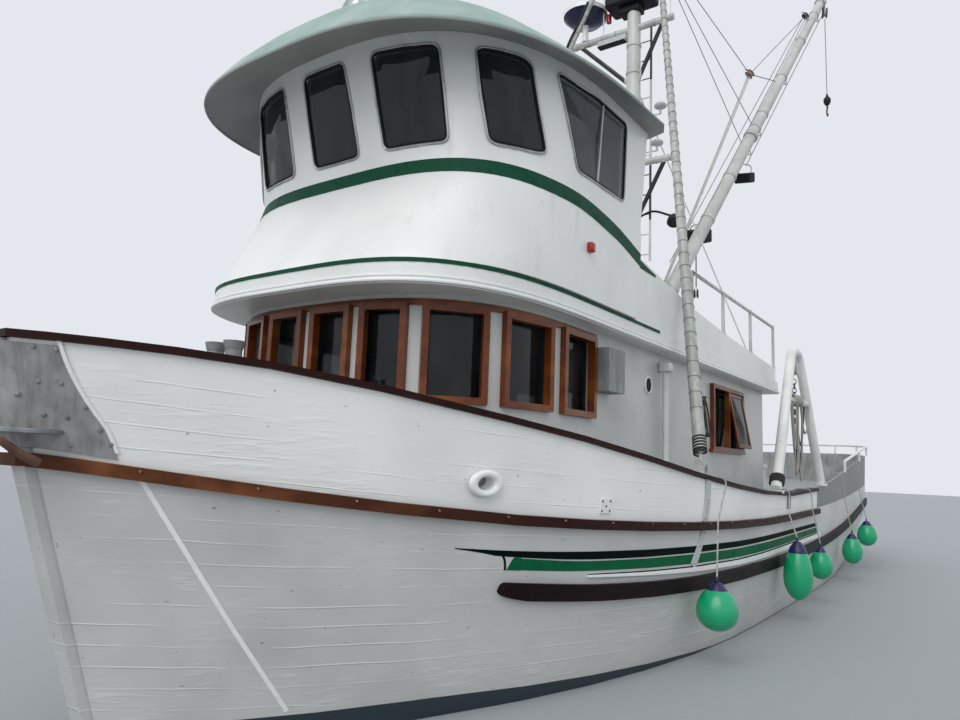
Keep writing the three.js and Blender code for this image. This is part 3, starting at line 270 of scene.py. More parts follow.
def houseEnamel(look):
    # Gloss enamel rolled on plywood and glass cloth: near white, faint orange peel, thin grime,
    # few rust spots
    material, tree, shader, place = begin("enamel on the houses", 0.35)
    blotch = patches(tree, place, 0.8, 0.45, 0.75)
    streak = patches(tree, place, 0.12, 0.6, 0.85, (1, 1, 0.12), 6.0)
    peel = patches(tree, place, 0.008, 0.3, 0.7, detail=2.0)
    spots = patches(tree, place, 0.05, 0.77, 0.8, detail=2.0)
    colour = lay(tree, linear(look["paint"]), linear(look["shade"]), blotch, 0.5)
    colour = lay(tree, colour, linear(look["grime"]), streak, 0.22)
    colour = lay(tree, colour, linear(look["rust"]), spots, 0.35)
    dress(tree, shader, colour, (blotch, 0.28, 0.45), peel, 0.0004)
    return material


roof = {"green": "#86a094", "pale": "#b0beb8", "soffitShade": "#8b8d89", "grime": "#5d6660"}


def roofPaint(look):
    # Chalked green deck paint on the roof's top; its white enamel underside painted mid grey as shade
    material, tree, shader, place = begin("chalked deck paint", 0.6)
    chalk = patches(tree, place, 0.5, 0.35, 0.7, detail=6.0)
    stain = patches(tree, place, 0.15, 0.55, 0.8, (0.3, 1, 1), 8.0)
    grit = patches(tree, place, 0.004, 0.3, 0.7, detail=1.0)
    colour = lay(tree, linear(look["green"]), linear(look["pale"]), chalk, 0.75)
    colour = lay(tree, colour, linear(look["grime"]), stain, 0.3)
    # Faces turned downward get mid grey: painted shade under the roof's brim
    normal = addNode(tree, "ShaderNodeNewGeometry", {}, {})["Normal"]
    _, _, upward = addNode(tree, "ShaderNodeSeparateXYZ", {}, {0: normal})
    under = addNode(tree, "ShaderNodeMath", {"operation": "LESS_THAN"}, {0: upward, 1: -0.02})[0]
    colour = lay(tree, colour, linear(look["soffitShade"]), under)
    dress(tree, shader, colour, (chalk, 0.5, 0.75), grit, 0.0006)
    return material


def timber(name, base, dark, light, roughness, coat, worn, barer=None):
    # Straight-grained fir: stretched grain 2 to 6 mm wide, darker pores, lighter where the varnish has gone;
    # with barer it goes lighter from one distance forward to the next
    material, tree, shader, place = begin(name, roughness, Specular_IOR_Level=0.15)
    shader.inputs["Coat Weight"].default_value = coat
    shader.inputs["Coat Roughness"].default_value = 0.15
    grain = patches(tree, place, 0.012, 0.3, 0.7, (0.05, 0.6, 0.9), 6.0)
    band = patches(tree, place, 0.25, 0.4, 0.65, (0.15, 1, 1))
    bare = patches(tree, place, 0.3, 0.5, 0.72, (0.25, 1, 1), 7.0)
    colour = lay(tree, linear(base), linear(dark), grain, 0.7)
    colour = lay(tree, colour, linear(dark), band, 0.4)
    colour = lay(tree, colour, linear(light), bare, worn)
    if barer:
        x, _, _ = addNode(tree, "ShaderNodeSeparateXYZ", {}, {0: place})
        span = {"Value": x, "From Min": barer[0], "From Max": barer[1]}
        bow = addNode(tree, "ShaderNodeMapRange", {}, span)[0]
        faded = addNode(tree, "ShaderNodeMath", {"operation": "MULTIPLY_ADD"}, {0: bare, 1: 0.6, 2: 0.35})[0]
        colour = lay(tree, colour, linear(light), faded)
        lessWorn = lay(tree, linear(base), linear(dark), grain, 0.8)
        colour = addNode(tree, "ShaderNodeMix", {"data_type": "RGBA"}, {0: bow, 6: lessWorn, 7: colour})[2]
    dress(tree, shader, colour, (grain, roughness - 0.08, roughness + 0.12), grain, 0.0006)
    return material


def metalSheet(name, base, dark, light, roughness, metallic, rust="#6e4a35", rusty=0.1, size=0.3):
    # Bare or galvanised metal: cloudy grey, streaks that run down, a little rust
    material, tree, shader, place = begin(name, roughness, metallic)
    cloud = patches(tree, place, size, 0.35, 0.68, detail=7.0)
    streak = patches(tree, place, size * 0.25, 0.45, 0.75, (1, 1, 0.15), 6.0)
    bite = patches(tree, place, size * 0.4, 0.6, 0.72, detail=8.0)
    pits = patches(tree, place, 0.006, 0.35, 0.7, detail=3.0)
    colour = lay(tree, linear(base), linear(light), cloud, 0.8)
    colour = lay(tree, colour, linear(dark), streak, 0.65)
    colour = lay(tree, colour, linear(rust), bite, rusty)
    dress(tree, shader, colour, (cloud, roughness - 0.1, roughness + 0.15), pits, 0.0004)
    return material


def paintedPipe(name, base, shade, spot, roughness, spotted):
    # Enamel on steel pipe: smooth, with grime and small rust spots
    material, tree, shader, place = begin(name, roughness)
    cloud = patches(tree, place, 0.35, 0.4, 0.7, detail=6.0)
    flecks = patches(tree, place, 0.04, 0.68, 0.74, detail=4.0)
    colour = lay(tree, linear(base), linear(shade), cloud, 0.7)
    colour = lay(tree, colour, linear(spot), flecks, spotted)
    dress(tree, shader, colour, (cloud, roughness - 0.08, roughness + 0.15), flecks, 0.0005)
    return material


def moulded(name, base, shade, roughness, coat=0.0, gloss=0.5):
    # Moulded plastic, vinyl, rubber or brushed enamel: even colour, scuffs, satin to gloss
    material, tree, shader, place = begin(name, roughness, Specular_IOR_Level=gloss)
    shader.inputs["Coat Weight"].default_value = coat
    scuff = patches(tree, place, 0.08, 0.5, 0.75, detail=8.0)
    grainy = patches(tree, place, 0.003, 0.3, 0.7, detail=1.0)
    colour = lay(tree, linear(base), linear(shade), scuff, 0.5)
    dress(tree, shader, colour, (scuff, roughness, roughness + 0.2), grainy, 0.0002)
    return material


def laidRope(name, base, shade, roughness, pitch):
    # Twisted strands: bands that cross the rope at a slant, pitch metres apart
    material, tree, shader, place = begin(name, roughness)
    turned = addNode(tree, "ShaderNodeMapping", {}, {"Vector": place, "Rotation": (0.5, 0.3, 0.6)})[0]
    wave = {"Vector": turned, "Scale": 1 / pitch, "Distortion": 1.0, "Detail": 2.0}
    lays = addNode(tree, "ShaderNodeTexWave", {}, wave)["Fac"]
    dirt = patches(tree, place, 0.2, 0.4, 0.75, detail=6.0)
    colour = lay(tree, linear(base), linear(shade), lays, 0.6)
    colour = lay(tree, colour, linear(shade), dirt, 0.5)
    dress(tree, shader, colour, (dirt, roughness, roughness + 0.1), lays, pitch * 0.3)
    return material


def windowPane(name, tint, alpha):
    # Tempered sheet glass over a dim cabin: a dark tint that is painted shade of the cabin, partly clear,
    # with lighter streaks that are smears and painted reflections
    material, tree, shader, place = begin(name, 0.04, Alpha=alpha)
    smearAndReflection = patches(tree, place, 0.2, 0.45, 0.8, (1, 1, 0.3), 5.0)
    colour = lay(tree, linear(tint), linear("#5a666c"), smearAndReflection, 0.25)
    dress(tree, shader, colour, (smearAndReflection, 0.02, 0.1))
    return material


def radomeShell(look):
    # Gelcoat: navy from the top of the stem to the rim, white above and below
    material, tree, shader, place = begin("gelcoat", 0.25)
    rim, stem = look["base"] + look["rim"], look["base"] + look["stem"]
    _, _, z = addNode(tree, "ShaderNodeSeparateXYZ", {}, {0: place})
    above = addNode(tree, "ShaderNodeMath", {"operation": "GREATER_THAN"}, {0: z, 1: rim})[0]
    below = addNode(tree, "ShaderNodeMath", {"operation": "LESS_THAN"}, {0: z, 1: stem})[0]
    outside = addNode(tree, "ShaderNodeMath", {"operation": "MAXIMUM"}, {0: above, 1: below})[0]
    scuff = patches(tree, place, 0.1, 0.5, 0.8)
    colour = lay(tree, linear(look["navy"]), linear(look["faded"]), scuff, 0.5)
    colour = lay(tree, colour, linear(look["white"]), outside)
    dress(tree, shader, colour, (scuff, 0.2, 0.4))
    return material


def mastPaint(look):
    # Grey-white enamel on a steel pipe mast, with tarred black braces
    material, tree, shader, place = begin("mast enamel", 0.45)
    _, y, z = addNode(tree, "ShaderNodeSeparateXYZ", {}, {0: place})
    aside = addNode(tree, "ShaderNodeMath", {"operation": "ABSOLUTE"}, {0: y})[0]
    off = addNode(tree, "ShaderNodeMath", {"operation": "GREATER_THAN"}, {0: aside, 1: look["pipe"]})[0]
    bracket = 0.0
    for low, high in look["braces"]:
        over = addNode(tree, "ShaderNodeMath", {"operation": "GREATER_THAN"}, {0: z, 1: low})[0]
        under = addNode(tree, "ShaderNodeMath", {"operation": "LESS_THAN"}, {0: z, 1: high})[0]
        inside = addNode(tree, "ShaderNodeMath", {"operation": "MULTIPLY"}, {0: over, 1: under})[0]
        bracket = addNode(tree, "ShaderNodeMath", {"operation": "MAXIMUM"}, {0: inside, 1: bracket})[0]
    black = addNode(tree, "ShaderNodeMath", {"operation": "MULTIPLY"}, {0: off, 1: bracket})[0]
    cloud = patches(tree, place, 0.3, 0.4, 0.7, (1, 1, 0.4), 6.0)
    flecks = patches(tree, place, 0.05, 0.62, 0.72, detail=6.0)
    colour = lay(tree, linear(look["paint"]), linear(look["shade"]), cloud, 0.8)
    colour = lay(tree, colour, linear(look["rust"]), flecks, 0.3)
    colour = lay(tree, colour, linear(look["tar"]), black)
    dress(tree, shader, colour, (cloud, 0.35, 0.6), flecks, 0.0006)
    return material


radome = {
    "navy": "#141c3c",
    "faded": "#2f3b5c",
    "white": "#e6e8e6",
    "base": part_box("radome")[0][2],
    "rim": 0.505,  # over the base
    "stem": 0.325,
}
mast = {
    "paint": "#c6c8c2",
    "shade": "#a0a39d",
    "rust": "#6f5a48",
    "tar": "#1b1c1c",
    "pipe": 0.165,  # half breadth; what stands further out is a brace
    "braces": [(6.36, 7.37), (9.0, 10.02)],
}
bow = {"rusty": 0.3, "size": 0.22}


finish = {
    "planking": plankingPaint(planks),
    # The same enamel above the guard, left lighter than the planking, whose grey is painted shade
    "bulwark": plankingPaint({**planks, "paint": "#f1f1ed", "shade": "#dedfdb", "grime": "#a8a59a"}),
    "house": houseEnamel(enamel),
    # The same enamel painted darker under the boat deck: painted shade of its overhang
    "deckhouse": houseEnamel({**enamel, "paint": "#c3c3bf", "shade": "#adaeaa"}),
    "roof": roofPaint(roof),
    # Oil varnish over fir: warm red-brown, wet gloss, worn paler on the guards
    "varnish": timber("oil varnish on fir", "#7c3c15", "#3f1c0a", "#ad6e38", 0.3, 0.35, 0.35),
    "guard": timber("varnish worn off fir", "#34100a", "#1a0605", "#83502e", 0.5, 0.0, 0.3, (6.2, 9.4)),
    "plug": moulded("bare end grain", "#8a7460", "#6c5646", 0.7, gloss=0.2),
    "rail": timber("weathered varnish on fir", "#2c0d08", "#170604", "#4d2212", 0.5, 0.0, 0.25),
    "tarred": timber("stained fir", "#1a0506", "#080202", "#33100d", 0.5, 0.0, 0.25),
    # Hot-rolled plate left bare: dull grey with wash marks
    "plate": metalSheet("bare steel plate", "#7b7e7d", "#5c5f5e", "#9ea1a0", 0.55, 0.3, rusty=0.25),
    "bowPlate": metalSheet("bare steel bow plate", "#8f8f8d", "#686866", "#b3b3b0", 0.5, 0.3, **bow),
    # Zinc-dipped steel: pale grey spangle gone matt
    "zinc": metalSheet("hot-dip galvanised steel", "#b3b7b3", "#8d918d", "#d0d3ce", 0.55, 0.2, rusty=0.12),
    "pole": metalSheet(
        "weathered aluminium pole", "#a3a69f", "#7e827b", "#c0c2bb", 0.5, 0.2, rusty=0.05, size=0.2
    ),
    "pipe": paintedPipe("enamel on steel pipe", "#dedfdb", "#c2c4bf", "#7a5138", 0.35, 0.5),
    "boom": paintedPipe("weathered enamel on the boom", "#c5c7c2", "#a7aaa5", "#70665c", 0.5, 0.4),
    "mast": mastPaint(mast),
    "bronze": metalSheet(
        "cast manganese bronze", "#8a6a3a", "#5b4a30", "#a98a55", 0.4, 0.9, rust="#4d6a58", rusty=0.5
    ),
    "iron": metalSheet(
        "rusty cast iron", "#5a4238", "#33241d", "#7a5a48", 0.8, 0.3, rust="#7c4328", rusty=0.9
    ),
    "bottom": moulded("antifouling paint", "#26353d", "#3b4a50", 0.7),
    # Dark tints: painted shade of the dim cabins behind the glass
    "glass": windowPane("sheet glass", "#101416", 0.6),
    "clear": windowPane("clear sheet glass", "#14181a", 0.55),
    # Pale grey tint on the side panes: painted sky light seen through the house
    "pale": windowPane("sheet glass with painted sky light", "#5a6268", 0.3),
    "radome": radomeShell(radome),
    "vinyl": moulded("inflated vinyl", "#05a06c", "#078e62", 0.3, 0.3),
    "navy": moulded("navy vinyl", "#16164a", "#22265c", 0.4, 0.1),
    "green": moulded("green enamel", "#015c38", "#014a2d", 0.5, gloss=0.1),
    "band": moulded("dark green enamel", "#0c4630", "#093826", 0.5, gloss=0.15),
    "ink": moulded("green-black enamel", "#01100b", "#031a12", 0.6, gloss=0.05),
    "white": moulded("white enamel", "#e9eae8", "#d5d7d4", 0.35, 0.1),
    "grey": moulded("grey enamel", "#b9bcba", "#9da1a0", 0.45),
    "alloy": metalSheet("anodised alloy", "#a6aaa9", "#8a8e8d", "#c3c6c5", 0.35, 0.7, rusty=0.0),
    "rubber": moulded("black rubber", "#0f1011", "#1b1c1d", 0.6, gloss=0.25),
    "black": moulded("black enamel", "#101213", "#1d1f20", 0.5, gloss=0.25),
    "red": moulded("red lamp glass", "#a8121b", "#6b0d14", 0.2, 0.2),
    "amber": moulded("red-brown block", "#6d2a26", "#4a1c1a", 0.4, 0.2),
    "wire": metalSheet(
        "galvanised wire rope", "#7d807d", "#5b5e5b", "#9c9f9b", 0.5, 0.6, rusty=0.15, size=0.08
    ),
    "rope": laidRope("laid nylon rope", "#d5d3ca", "#a19d90", 0.8, 0.02),
    "darkRope": laidRope("tarred rope", "#4b4640", "#2e2a26", 0.85, 0.02),
}
print("finishes ready:", len(finish))

# The CAD nodes
nodeFinish = {
    "planking": ["hull", "keel"],
    "bulwark": ["bulwark"],
    "deckhouse": ["deckhouse", "deckhouse_aft"],
    "house": ["boat_deck", "pilothouse", "pilothouse_door", "hatch_coaming", "hatch_lid"],
    "roof": ["pilothouse_roof"],
    "varnish": ["deckhouse_windows", "aft_door"],
    "rail": ["cap_rail"],
    "guard": ["guard"],
    "tarred": ["helm_console"],
    "plate": ["stern_bulwark", "bow_shelf", "side_locker", "foredeck_bitts"],
    "bowPlate": ["bow_plates"],
    "zinc": ["boom_swivel", "windlass_frame", "winch_frame", "winch_drum"],
    "pole": [],
    "pipe": ["stern_rail", "vent_pipe", "searchlight"],
    "boom": ["boom"],
    "mast": ["mast"],
    "bronze": ["propeller"],
    "iron": ["anchor", "windlass_drum"],
    "bottom": ["rudder"],
    "glass": ["deckhouse_glass"],
    "clear": ["pilothouse_glass"],
    "radome": ["radome"],
    "vinyl": [f"fender_{k}" for k in range(1, 6)],
}
pairedFinish = {
    "house": ["boat_deck_bulwark"],
    "varnish": ["galley_window"],
    "tarred": ["lower_guard"],
    "zinc": ["shroud", "boat_deck_rail", "outrigger_step"],
    "pole": ["outrigger"],
    "pipe": ["gallows", "hawse_ring"],
}
for key, names in pairedFinish.items():
    nodeFinish[key] += [f"{name}_{side}" for name in names for side in ("port", "starboard")]
shading = {"merge": 0.0002, "angle": 34}  # metres and degrees


def softShade(settings):
    # Joins the loose triangles and smooths across edges flatter than the angle
    group = bpy.data.node_groups.new("softShade", "GeometryNodeTree")
    for way in ("INPUT", "OUTPUT"):
        group.interface.new_socket("Geometry", in_out=way, socket_type="NodeSocketGeometry")
    start = addNode(group, "NodeGroupInput", {}, {})[0]
    normals = {"Geometry": start, "Name": "custom_normal"}
    bare = addNode(group, "GeometryNodeRemoveAttribute", {}, normals)[0]
    near = {"Geometry": bare, "Distance": settings["merge"]}
    merged = addNode(group, "GeometryNodeMergeByDistance", {}, near)[0]
    angle = addNode(group, "GeometryNodeInputMeshEdgeAngle", {}, {})[0]
    limit = {0: angle, 1: math.radians(settings["angle"])}
    gentle = addNode(group, "FunctionNodeCompare", {"operation": "LESS_THAN"}, limit)[0]
    smooth = {"Geometry": merged, "Shade Smooth": True}
    faces = addNode(group, "GeometryNodeSetShadeSmooth", {"domain": "FACE"}, smooth)[0]
    smooth = {"Geometry": faces, "Shade Smooth": gentle}
    edges = addNode(group, "GeometryNodeSetShadeSmooth", {"domain": "EDGE"}, smooth)[0]
    addNode(group, "NodeGroupOutput", {}, {0: edges})
    return group


smoothing = softShade(shading)
for key, names in nodeFinish.items():
    for name in names:
        for slot in nodes[name].material_slots:
            slot.link = "OBJECT"
            slot.material = finish[key]
        nodes[name].modifiers.new("softShade", "NODES").node_group = smoothing
unfinished = set(nodes) - {name for names in nodeFinish.values() for name in names}
print("nodes finished, left over:", sorted(unfinished))

# Shape helpers


def solid(name, rings, body, key, wrap=False, sharp=40, bevel=0.0):
    # rings: (copies, rows, columns, 3). Columns close on themselves, rows too with wrap, or else end in caps
    rings = np.asarray(rings, float)
    rings = rings.reshape((-1, *rings.shape[-3:]))
    index = np.arange(rings[..., 0].size).reshape(rings.shape[:3])
    near = index if wrap else index[:, :-1]
    far = np.roll(index, -1, 1) if wrap else index[:, 1:]
    quads = np.stack([near, np.roll(near, -1, 2), np.roll(far, -1, 2), far], -1).reshape(-1, 4).tolist()
    caps = [] if wrap else index[:, 0, ::-1].tolist() + index[:, -1].tolist()
    mesh = bpy.data.meshes.new(name)
    mesh.from_pydata(rings.reshape(-1, 3).tolist(), [], quads + caps)
    work = bmesh.new()
    work.from_mesh(mesh)
    bmesh.ops.remove_doubles(work, verts=work.verts, dist=2e-5)
    bmesh.ops.recalc_face_normals(work, faces=work.faces)
    work.to_mesh(mesh)
    work.free()
    mesh.shade_smooth()
    mesh.set_sharp_from_angle(angle=math.radians(sharp))
    mesh.materials.append(finish[key])
    piece = bpy.data.objects.new(name, mesh)
    scene.collection.objects.link(piece)
    if bevel:
        rounding = piece.modifiers.new("rounded edges", "BEVEL")
        rounding.width = bevel
        rounding.segments = 2
    if isinstance(body, str):
        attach(piece, body)
    else:
        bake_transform(piece)
    return piece


def mirrored(rings):
    # Both sides of the boat: the rings and their mirror image in the centreline
    rings = np.asarray(rings, float)
    rings = rings.reshape((-1, *rings.shape[-3:]))
    return np.concatenate([rings, rings * [1, -1, 1]])


def unit(vectors):
    return vectors / np.maximum(np.linalg.norm(vectors, axis=-1, keepdims=True), 1e-9)


def points(x, y, z):
    # Points (..., 3) from coordinates whose shapes fit together
    return np.stack(np.broadcast_arrays(*(np.asarray(value, float) for value in (x, y, z))), -1)


def circles(centre, radius, u, v, count):
    # Circle about each centre (..., 3): centre + radius * (u cos a + v sin a)
    angle = np.arange(count)[:, None] * 2 * math.pi / count
    return np.asarray(centre, float)[..., None, :] + radius * (np.cos(angle) * u + np.sin(angle) * v)


def smoothPath(points, count):
    # Cubic Hermite curve through the points, slopes by central differences, even steps along the chords
    points = np.asarray(points, float)
    along = np.concatenate([[0], np.cumsum(np.linalg.norm(np.diff(points, axis=0), axis=1))])
    slope = np.gradient(points, along, axis=0)
    at = np.linspace(0, along[-1], count)
    k = np.clip(np.searchsorted(along, at, side="right") - 1, 0, len(along) - 2)
    width = (along[k + 1] - along[k])[:, None]
    t = (at - along[k])[:, None] / width
    ends = points[k] * (1 + 2 * t) * (1 - t) ** 2 + points[k + 1] * t**2 * (3 - 2 * t)
    return ends + width * (slope[k] * t * (1 - t) ** 2 + slope[k + 1] * t**2 * (t - 1))


def routed(points, count, passes=2):
    # Taut rope round its bearers: straight runs, each point then averaged with its neighbours
    points = np.asarray(points, float)
    along = np.concatenate([[0], np.cumsum(np.linalg.norm(np.diff(points, axis=0), axis=1))])
    at = np.linspace(0, along[-1], count)
    path = np.stack([np.interp(at, along, points[:, k]) for k in range(3)], -1)
    for _ in range(passes):
        path[1:-1] = (path[:-2] + path[1:-1] * 2 + path[2:]) / 4
    return path


def hang(start, end, sag, count):
    # Line from start to end, lowered by 4 * sag * t * (1 - t)
    t = np.linspace(0, 1, count)[:, None]
    path = np.asarray(start, float) * (1 - t) + np.asarray(end, float) * t
    return path - np.array([0, 0, 4 * sag]) * t * (1 - t)


def tubeRings(path, radius, sides, wrap):
    # Circles across a path (..., points, 3): path + radius * (u cos a + v sin a), u and v square to the path
    path = np.asarray(path, float)
    path = path.reshape((-1, *path.shape[-2:]))
    if wrap:
        along = unit(np.roll(path, -1, 1) - np.roll(path, 1, 1))
    else:
        along = unit(np.gradient(path, axis=1))
    least = np.abs(along).max(axis=1).argmin(axis=1)
    u = unit(np.cross(along, np.eye(3)[least][:, None]))
    v = np.cross(along, u)
    angle = np.arange(sides) * 2 * math.pi / sides
    radius = np.broadcast_to(np.asarray(radius, float), path.shape[:2])[..., None, None]
    circle = u[:, :, None] * np.cos(angle)[:, None] + v[:, :, None] * np.sin(angle)[:, None]
    return path[:, :, None] + radius * circle


def across(direction):
    # Two directions square to each direction (copies, 3)
    direction = unit(np.atleast_2d(np.asarray(direction, float)))
    u = unit(np.cross(direction, np.eye(3)[np.abs(direction).argmin(axis=1)]))
    return direction, u, np.cross(direction, u)


def turned(profile, places, direction, sides=16):
    # Profile (radius, height) swung round the direction at each place
    places = np.atleast_2d(np.asarray(places, float))
    axis, u, v = across(np.broadcast_to(np.asarray(direction, float), places.shape))
    radius, height = np.asarray(profile, float).T
    angle = np.arange(sides) * 2 * math.pi / sides
    circle = u[:, None] * np.cos(angle)[:, None] + v[:, None] * np.sin(angle)[:, None]
    rise = axis[:, None, None] * height[:, None, None]
    return places[:, None, None] + rise + circle[:, None] * radius[:, None, None]


def boxRings(places, size, direction=(0, 0, 1), ahead=(1, 0, 0)):
    # Upright prism about each place: size along ahead, across it and along the direction
    places = np.atleast_2d(np.asarray(places, float))
    up = unit(np.asarray(direction, float))
    side = unit(np.cross(up, np.asarray(ahead, float)))
    front = np.cross(side, up)
    corner = np.array([[-1, -1], [1, -1], [1, 1], [-1, 1]]) / 2
    square = corner[:, :1] * front * size[0] + corner[:, 1:] * side * size[1]
    return places[:, None, None] + square + np.array([[-0.5], [0.5]])[:, None] * up * size[2]


def tube(name, path, radius, body, key, sides=6, ring=False):
    # Bar, rope or wire along a path, joined end to end where it is a ring
    return solid(name, tubeRings(path, radius, sides, ring), body, key, wrap=ring)


# The hull's own surface, in metres: d is the distance aft along the deck from the stem head
hullForm = {
    "length": 19.76,
    "stemX": 9.76,
    "deckEdge": [
        *[(-10, 1.85), (-8, 1.72), (-5, 1.56), (-2, 1.45), (0, 1.425)],
        *[(2, 1.43), (4.5, 1.49), (6.7, 1.61), (8.3, 1.78), (9.76, 2.0)],
    ],
    "rabbet": [
        *[(0.07, -1.25), (3, -1.33), (9.76, -1.35), (14, -1.25), (16, -0.95)],
        *[(17.5, -0.52), (18.3, -0.25), (19, -0.06), (19.76, 0.15)],
    ],
    "stations": [
        *(0.07, 0.22, 0.45, 0.8, 1.3, 2.0, 3.06, 3.9, 4.8, 5.8, 7.0, 8.25, 9.76, 11.76, 13.2, 14.7),
        *(16.0, 17.2, 18.2, 18.96, 19.32, 19.56, 19.7, 19.76),
    ],
    "levels": 10,
}


def fair(table, x):
    # Cubic Hermite curve through a table of (x, value), slopes by central differences
    knots, values = np.asarray(table, float).T
    slope = np.empty_like(values)
    slope[1:-1] = (values[2:] - values[:-2]) / (knots[2:] - knots[:-2])
    slope[0] = (values[1] - values[0]) / (knots[1] - knots[0])
    slope[-1] = (values[-1] - values[-2]) / (knots[-1] - knots[-2])
    x = np.clip(np.asarray(x, float), knots[0], knots[-1])
    k = np.clip(np.searchsorted(knots, x, side="right") - 1, 0, len(knots) - 2)
    width = knots[k + 1] - knots[k]
    t = (x - knots[k]) / width
    ends = values[k] * (1 + 2 * t) * (1 - t) ** 2 + values[k + 1] * t**2 * (3 - 2 * t)
    return ends + width * (slope[k] * t * (1 - t) ** 2 + slope[k + 1] * t**2 * (t - 1))


def deckHalf(d):
    # Half breadth at the deck edge
    x = hullForm["stemX"] - d
    bow = 1 - np.maximum(1 - d / 8.25, 0) ** 2.3
    half = 2.55 * bow**0.787 - 0.25 * (np.maximum(-2 - x, 0) / 8) ** 2
    turn = np.clip((-9.2 - x) / 0.8, 0, 1)
    return half - 0.8 * (1 - np.sqrt(1 - turn**2))


def deckDistance(x, z):
    # Undoes the rake of stem and stern
    stem = 0.33 * (z - 2.0) - 0.55 * np.minimum(z + 0.3, 0) ** 2
    stern = -0.139 * (z - 2.0)
    return (hullForm["stemX"] + stem - x) / (1 + (stem - stern) / hullForm["length"])


def hullHalf(x, z):
    # Half breadth of the planking, straight between the stations and levels of the solid
    x, z = np.broadcast_arrays(np.asarray(x, float), np.asarray(z, float))
    stations = np.array(hullForm["stations"])
    levels = np.linspace(0, 1, hullForm["levels"]) ** 1.25
    low = fair(hullForm["rabbet"], stations)
    deck = fair(hullForm["deckEdge"], hullForm["stemX"] - stations)
    section = (1 - (1 - levels) ** 3.6) ** (1 / 1.7)
    halves = np.maximum(deckHalf(stations)[:, None] * section, 0.06)
    d = np.clip(deckDistance(x, z), stations[0], stations[-1])
    i = np.clip(np.searchsorted(stations, d, side="right") - 1, 0, len(stations) - 2)
    u = (d - stations[i]) / (stations[i + 1] - stations[i])
    foot = low[i] + (low[i + 1] - low[i]) * u
    t = np.clip((z - foot) / (deck[i] + (deck[i + 1] - deck[i]) * u - foot), 0, 1)
    k = np.clip(np.searchsorted(levels, t, side="right") - 1, 0, len(levels) - 2)
    w = (t - levels[k]) / (levels[k + 1] - levels[k])
    fore = halves[i, k] * (1 - w) + halves[i, k + 1] * w
    aft = halves[i + 1, k] * (1 - w) + halves[i + 1, k + 1] * w
    return fore * (1 - u) + aft * u


def bulwarkHalf(x, z):
    # Half breadth of the bulwark over the deck edge
    x, z = np.broadcast_arrays(np.asarray(x, float), np.asarray(z, float))
    d = np.clip(deckDistance(x, np.maximum(z, 0)), 0.07, hullForm["length"])
    flare = np.where(x > -2, 0.04, 0.02)
    return np.maximum(deckHalf(d), 0.11) + flare * (z - fair(hullForm["deckEdge"], hullForm["stemX"] - d))


def ribbonRings(low, high, half, lift, sink=0.004, rows=5):
    # Strip on the hull between two edges (points, 2) as x, z: outside at half + lift, inside at half - sink
    v = np.linspace(0, 1, rows)[None, :, None]
    spread = np.asarray(low, float)[:, None] * (1 - v) + np.asarray(high, float)[:, None] * v
    x, z = spread[..., 0], spread[..., 1]
    y = half(x, z)
    outside = np.stack([x, y + lift, z], -1)
    inside = np.stack([x, y - sink, z], -1)
    return np.concatenate([outside, inside[:, ::-1]], axis=1)


def edgeOf(table, xs):
    return np.stack([xs, fair(sorted(table), xs)], -1)


def straight(start, end, count=3):
    return np.linspace(np.asarray(start, float), np.asarray(end, float), count)


def sleeves(places, direction, radii, height, sides):
    # Flat bands round a bar, each with its own radius
    places = np.asarray(places, float)
    axis, u, v = across(np.broadcast_to(np.asarray(direction, float), places.shape))
    reach = np.broadcast_to(np.asarray(radii, float), len(places))[:, None] * [0, 1, 1, 0]
    rise = np.array([-0.5, -0.5, 0.5, 0.5])[:, None] * height
    centres = places[:, None] + axis[:, None] * rise
    return circles(centres, reach[..., None, None], u[:, None, None], v[:, None, None], sides)


def bandRings(low, high, start, end, half, lift, step=0.12, rows=5):
    # Band along the hull between two tables of (x, z)
    xs = np.linspace(start, end, max(int(abs(start - end) / step), 2))
    return ribbonRings(edgeOf(low, xs), edgeOf(high, xs), half, lift, rows=rows)


def stripRings(path, width, half, lift):
    # Strip of even width along a path (x, z) on the hull
    path = smoothPath(path, 24)
    along = unit(np.gradient(path, axis=0))
    side = np.stack([-along[:, 1], along[:, 0]], -1) * width / 2
    return ribbonRings(path - side, path + side, half, lift, rows=3)


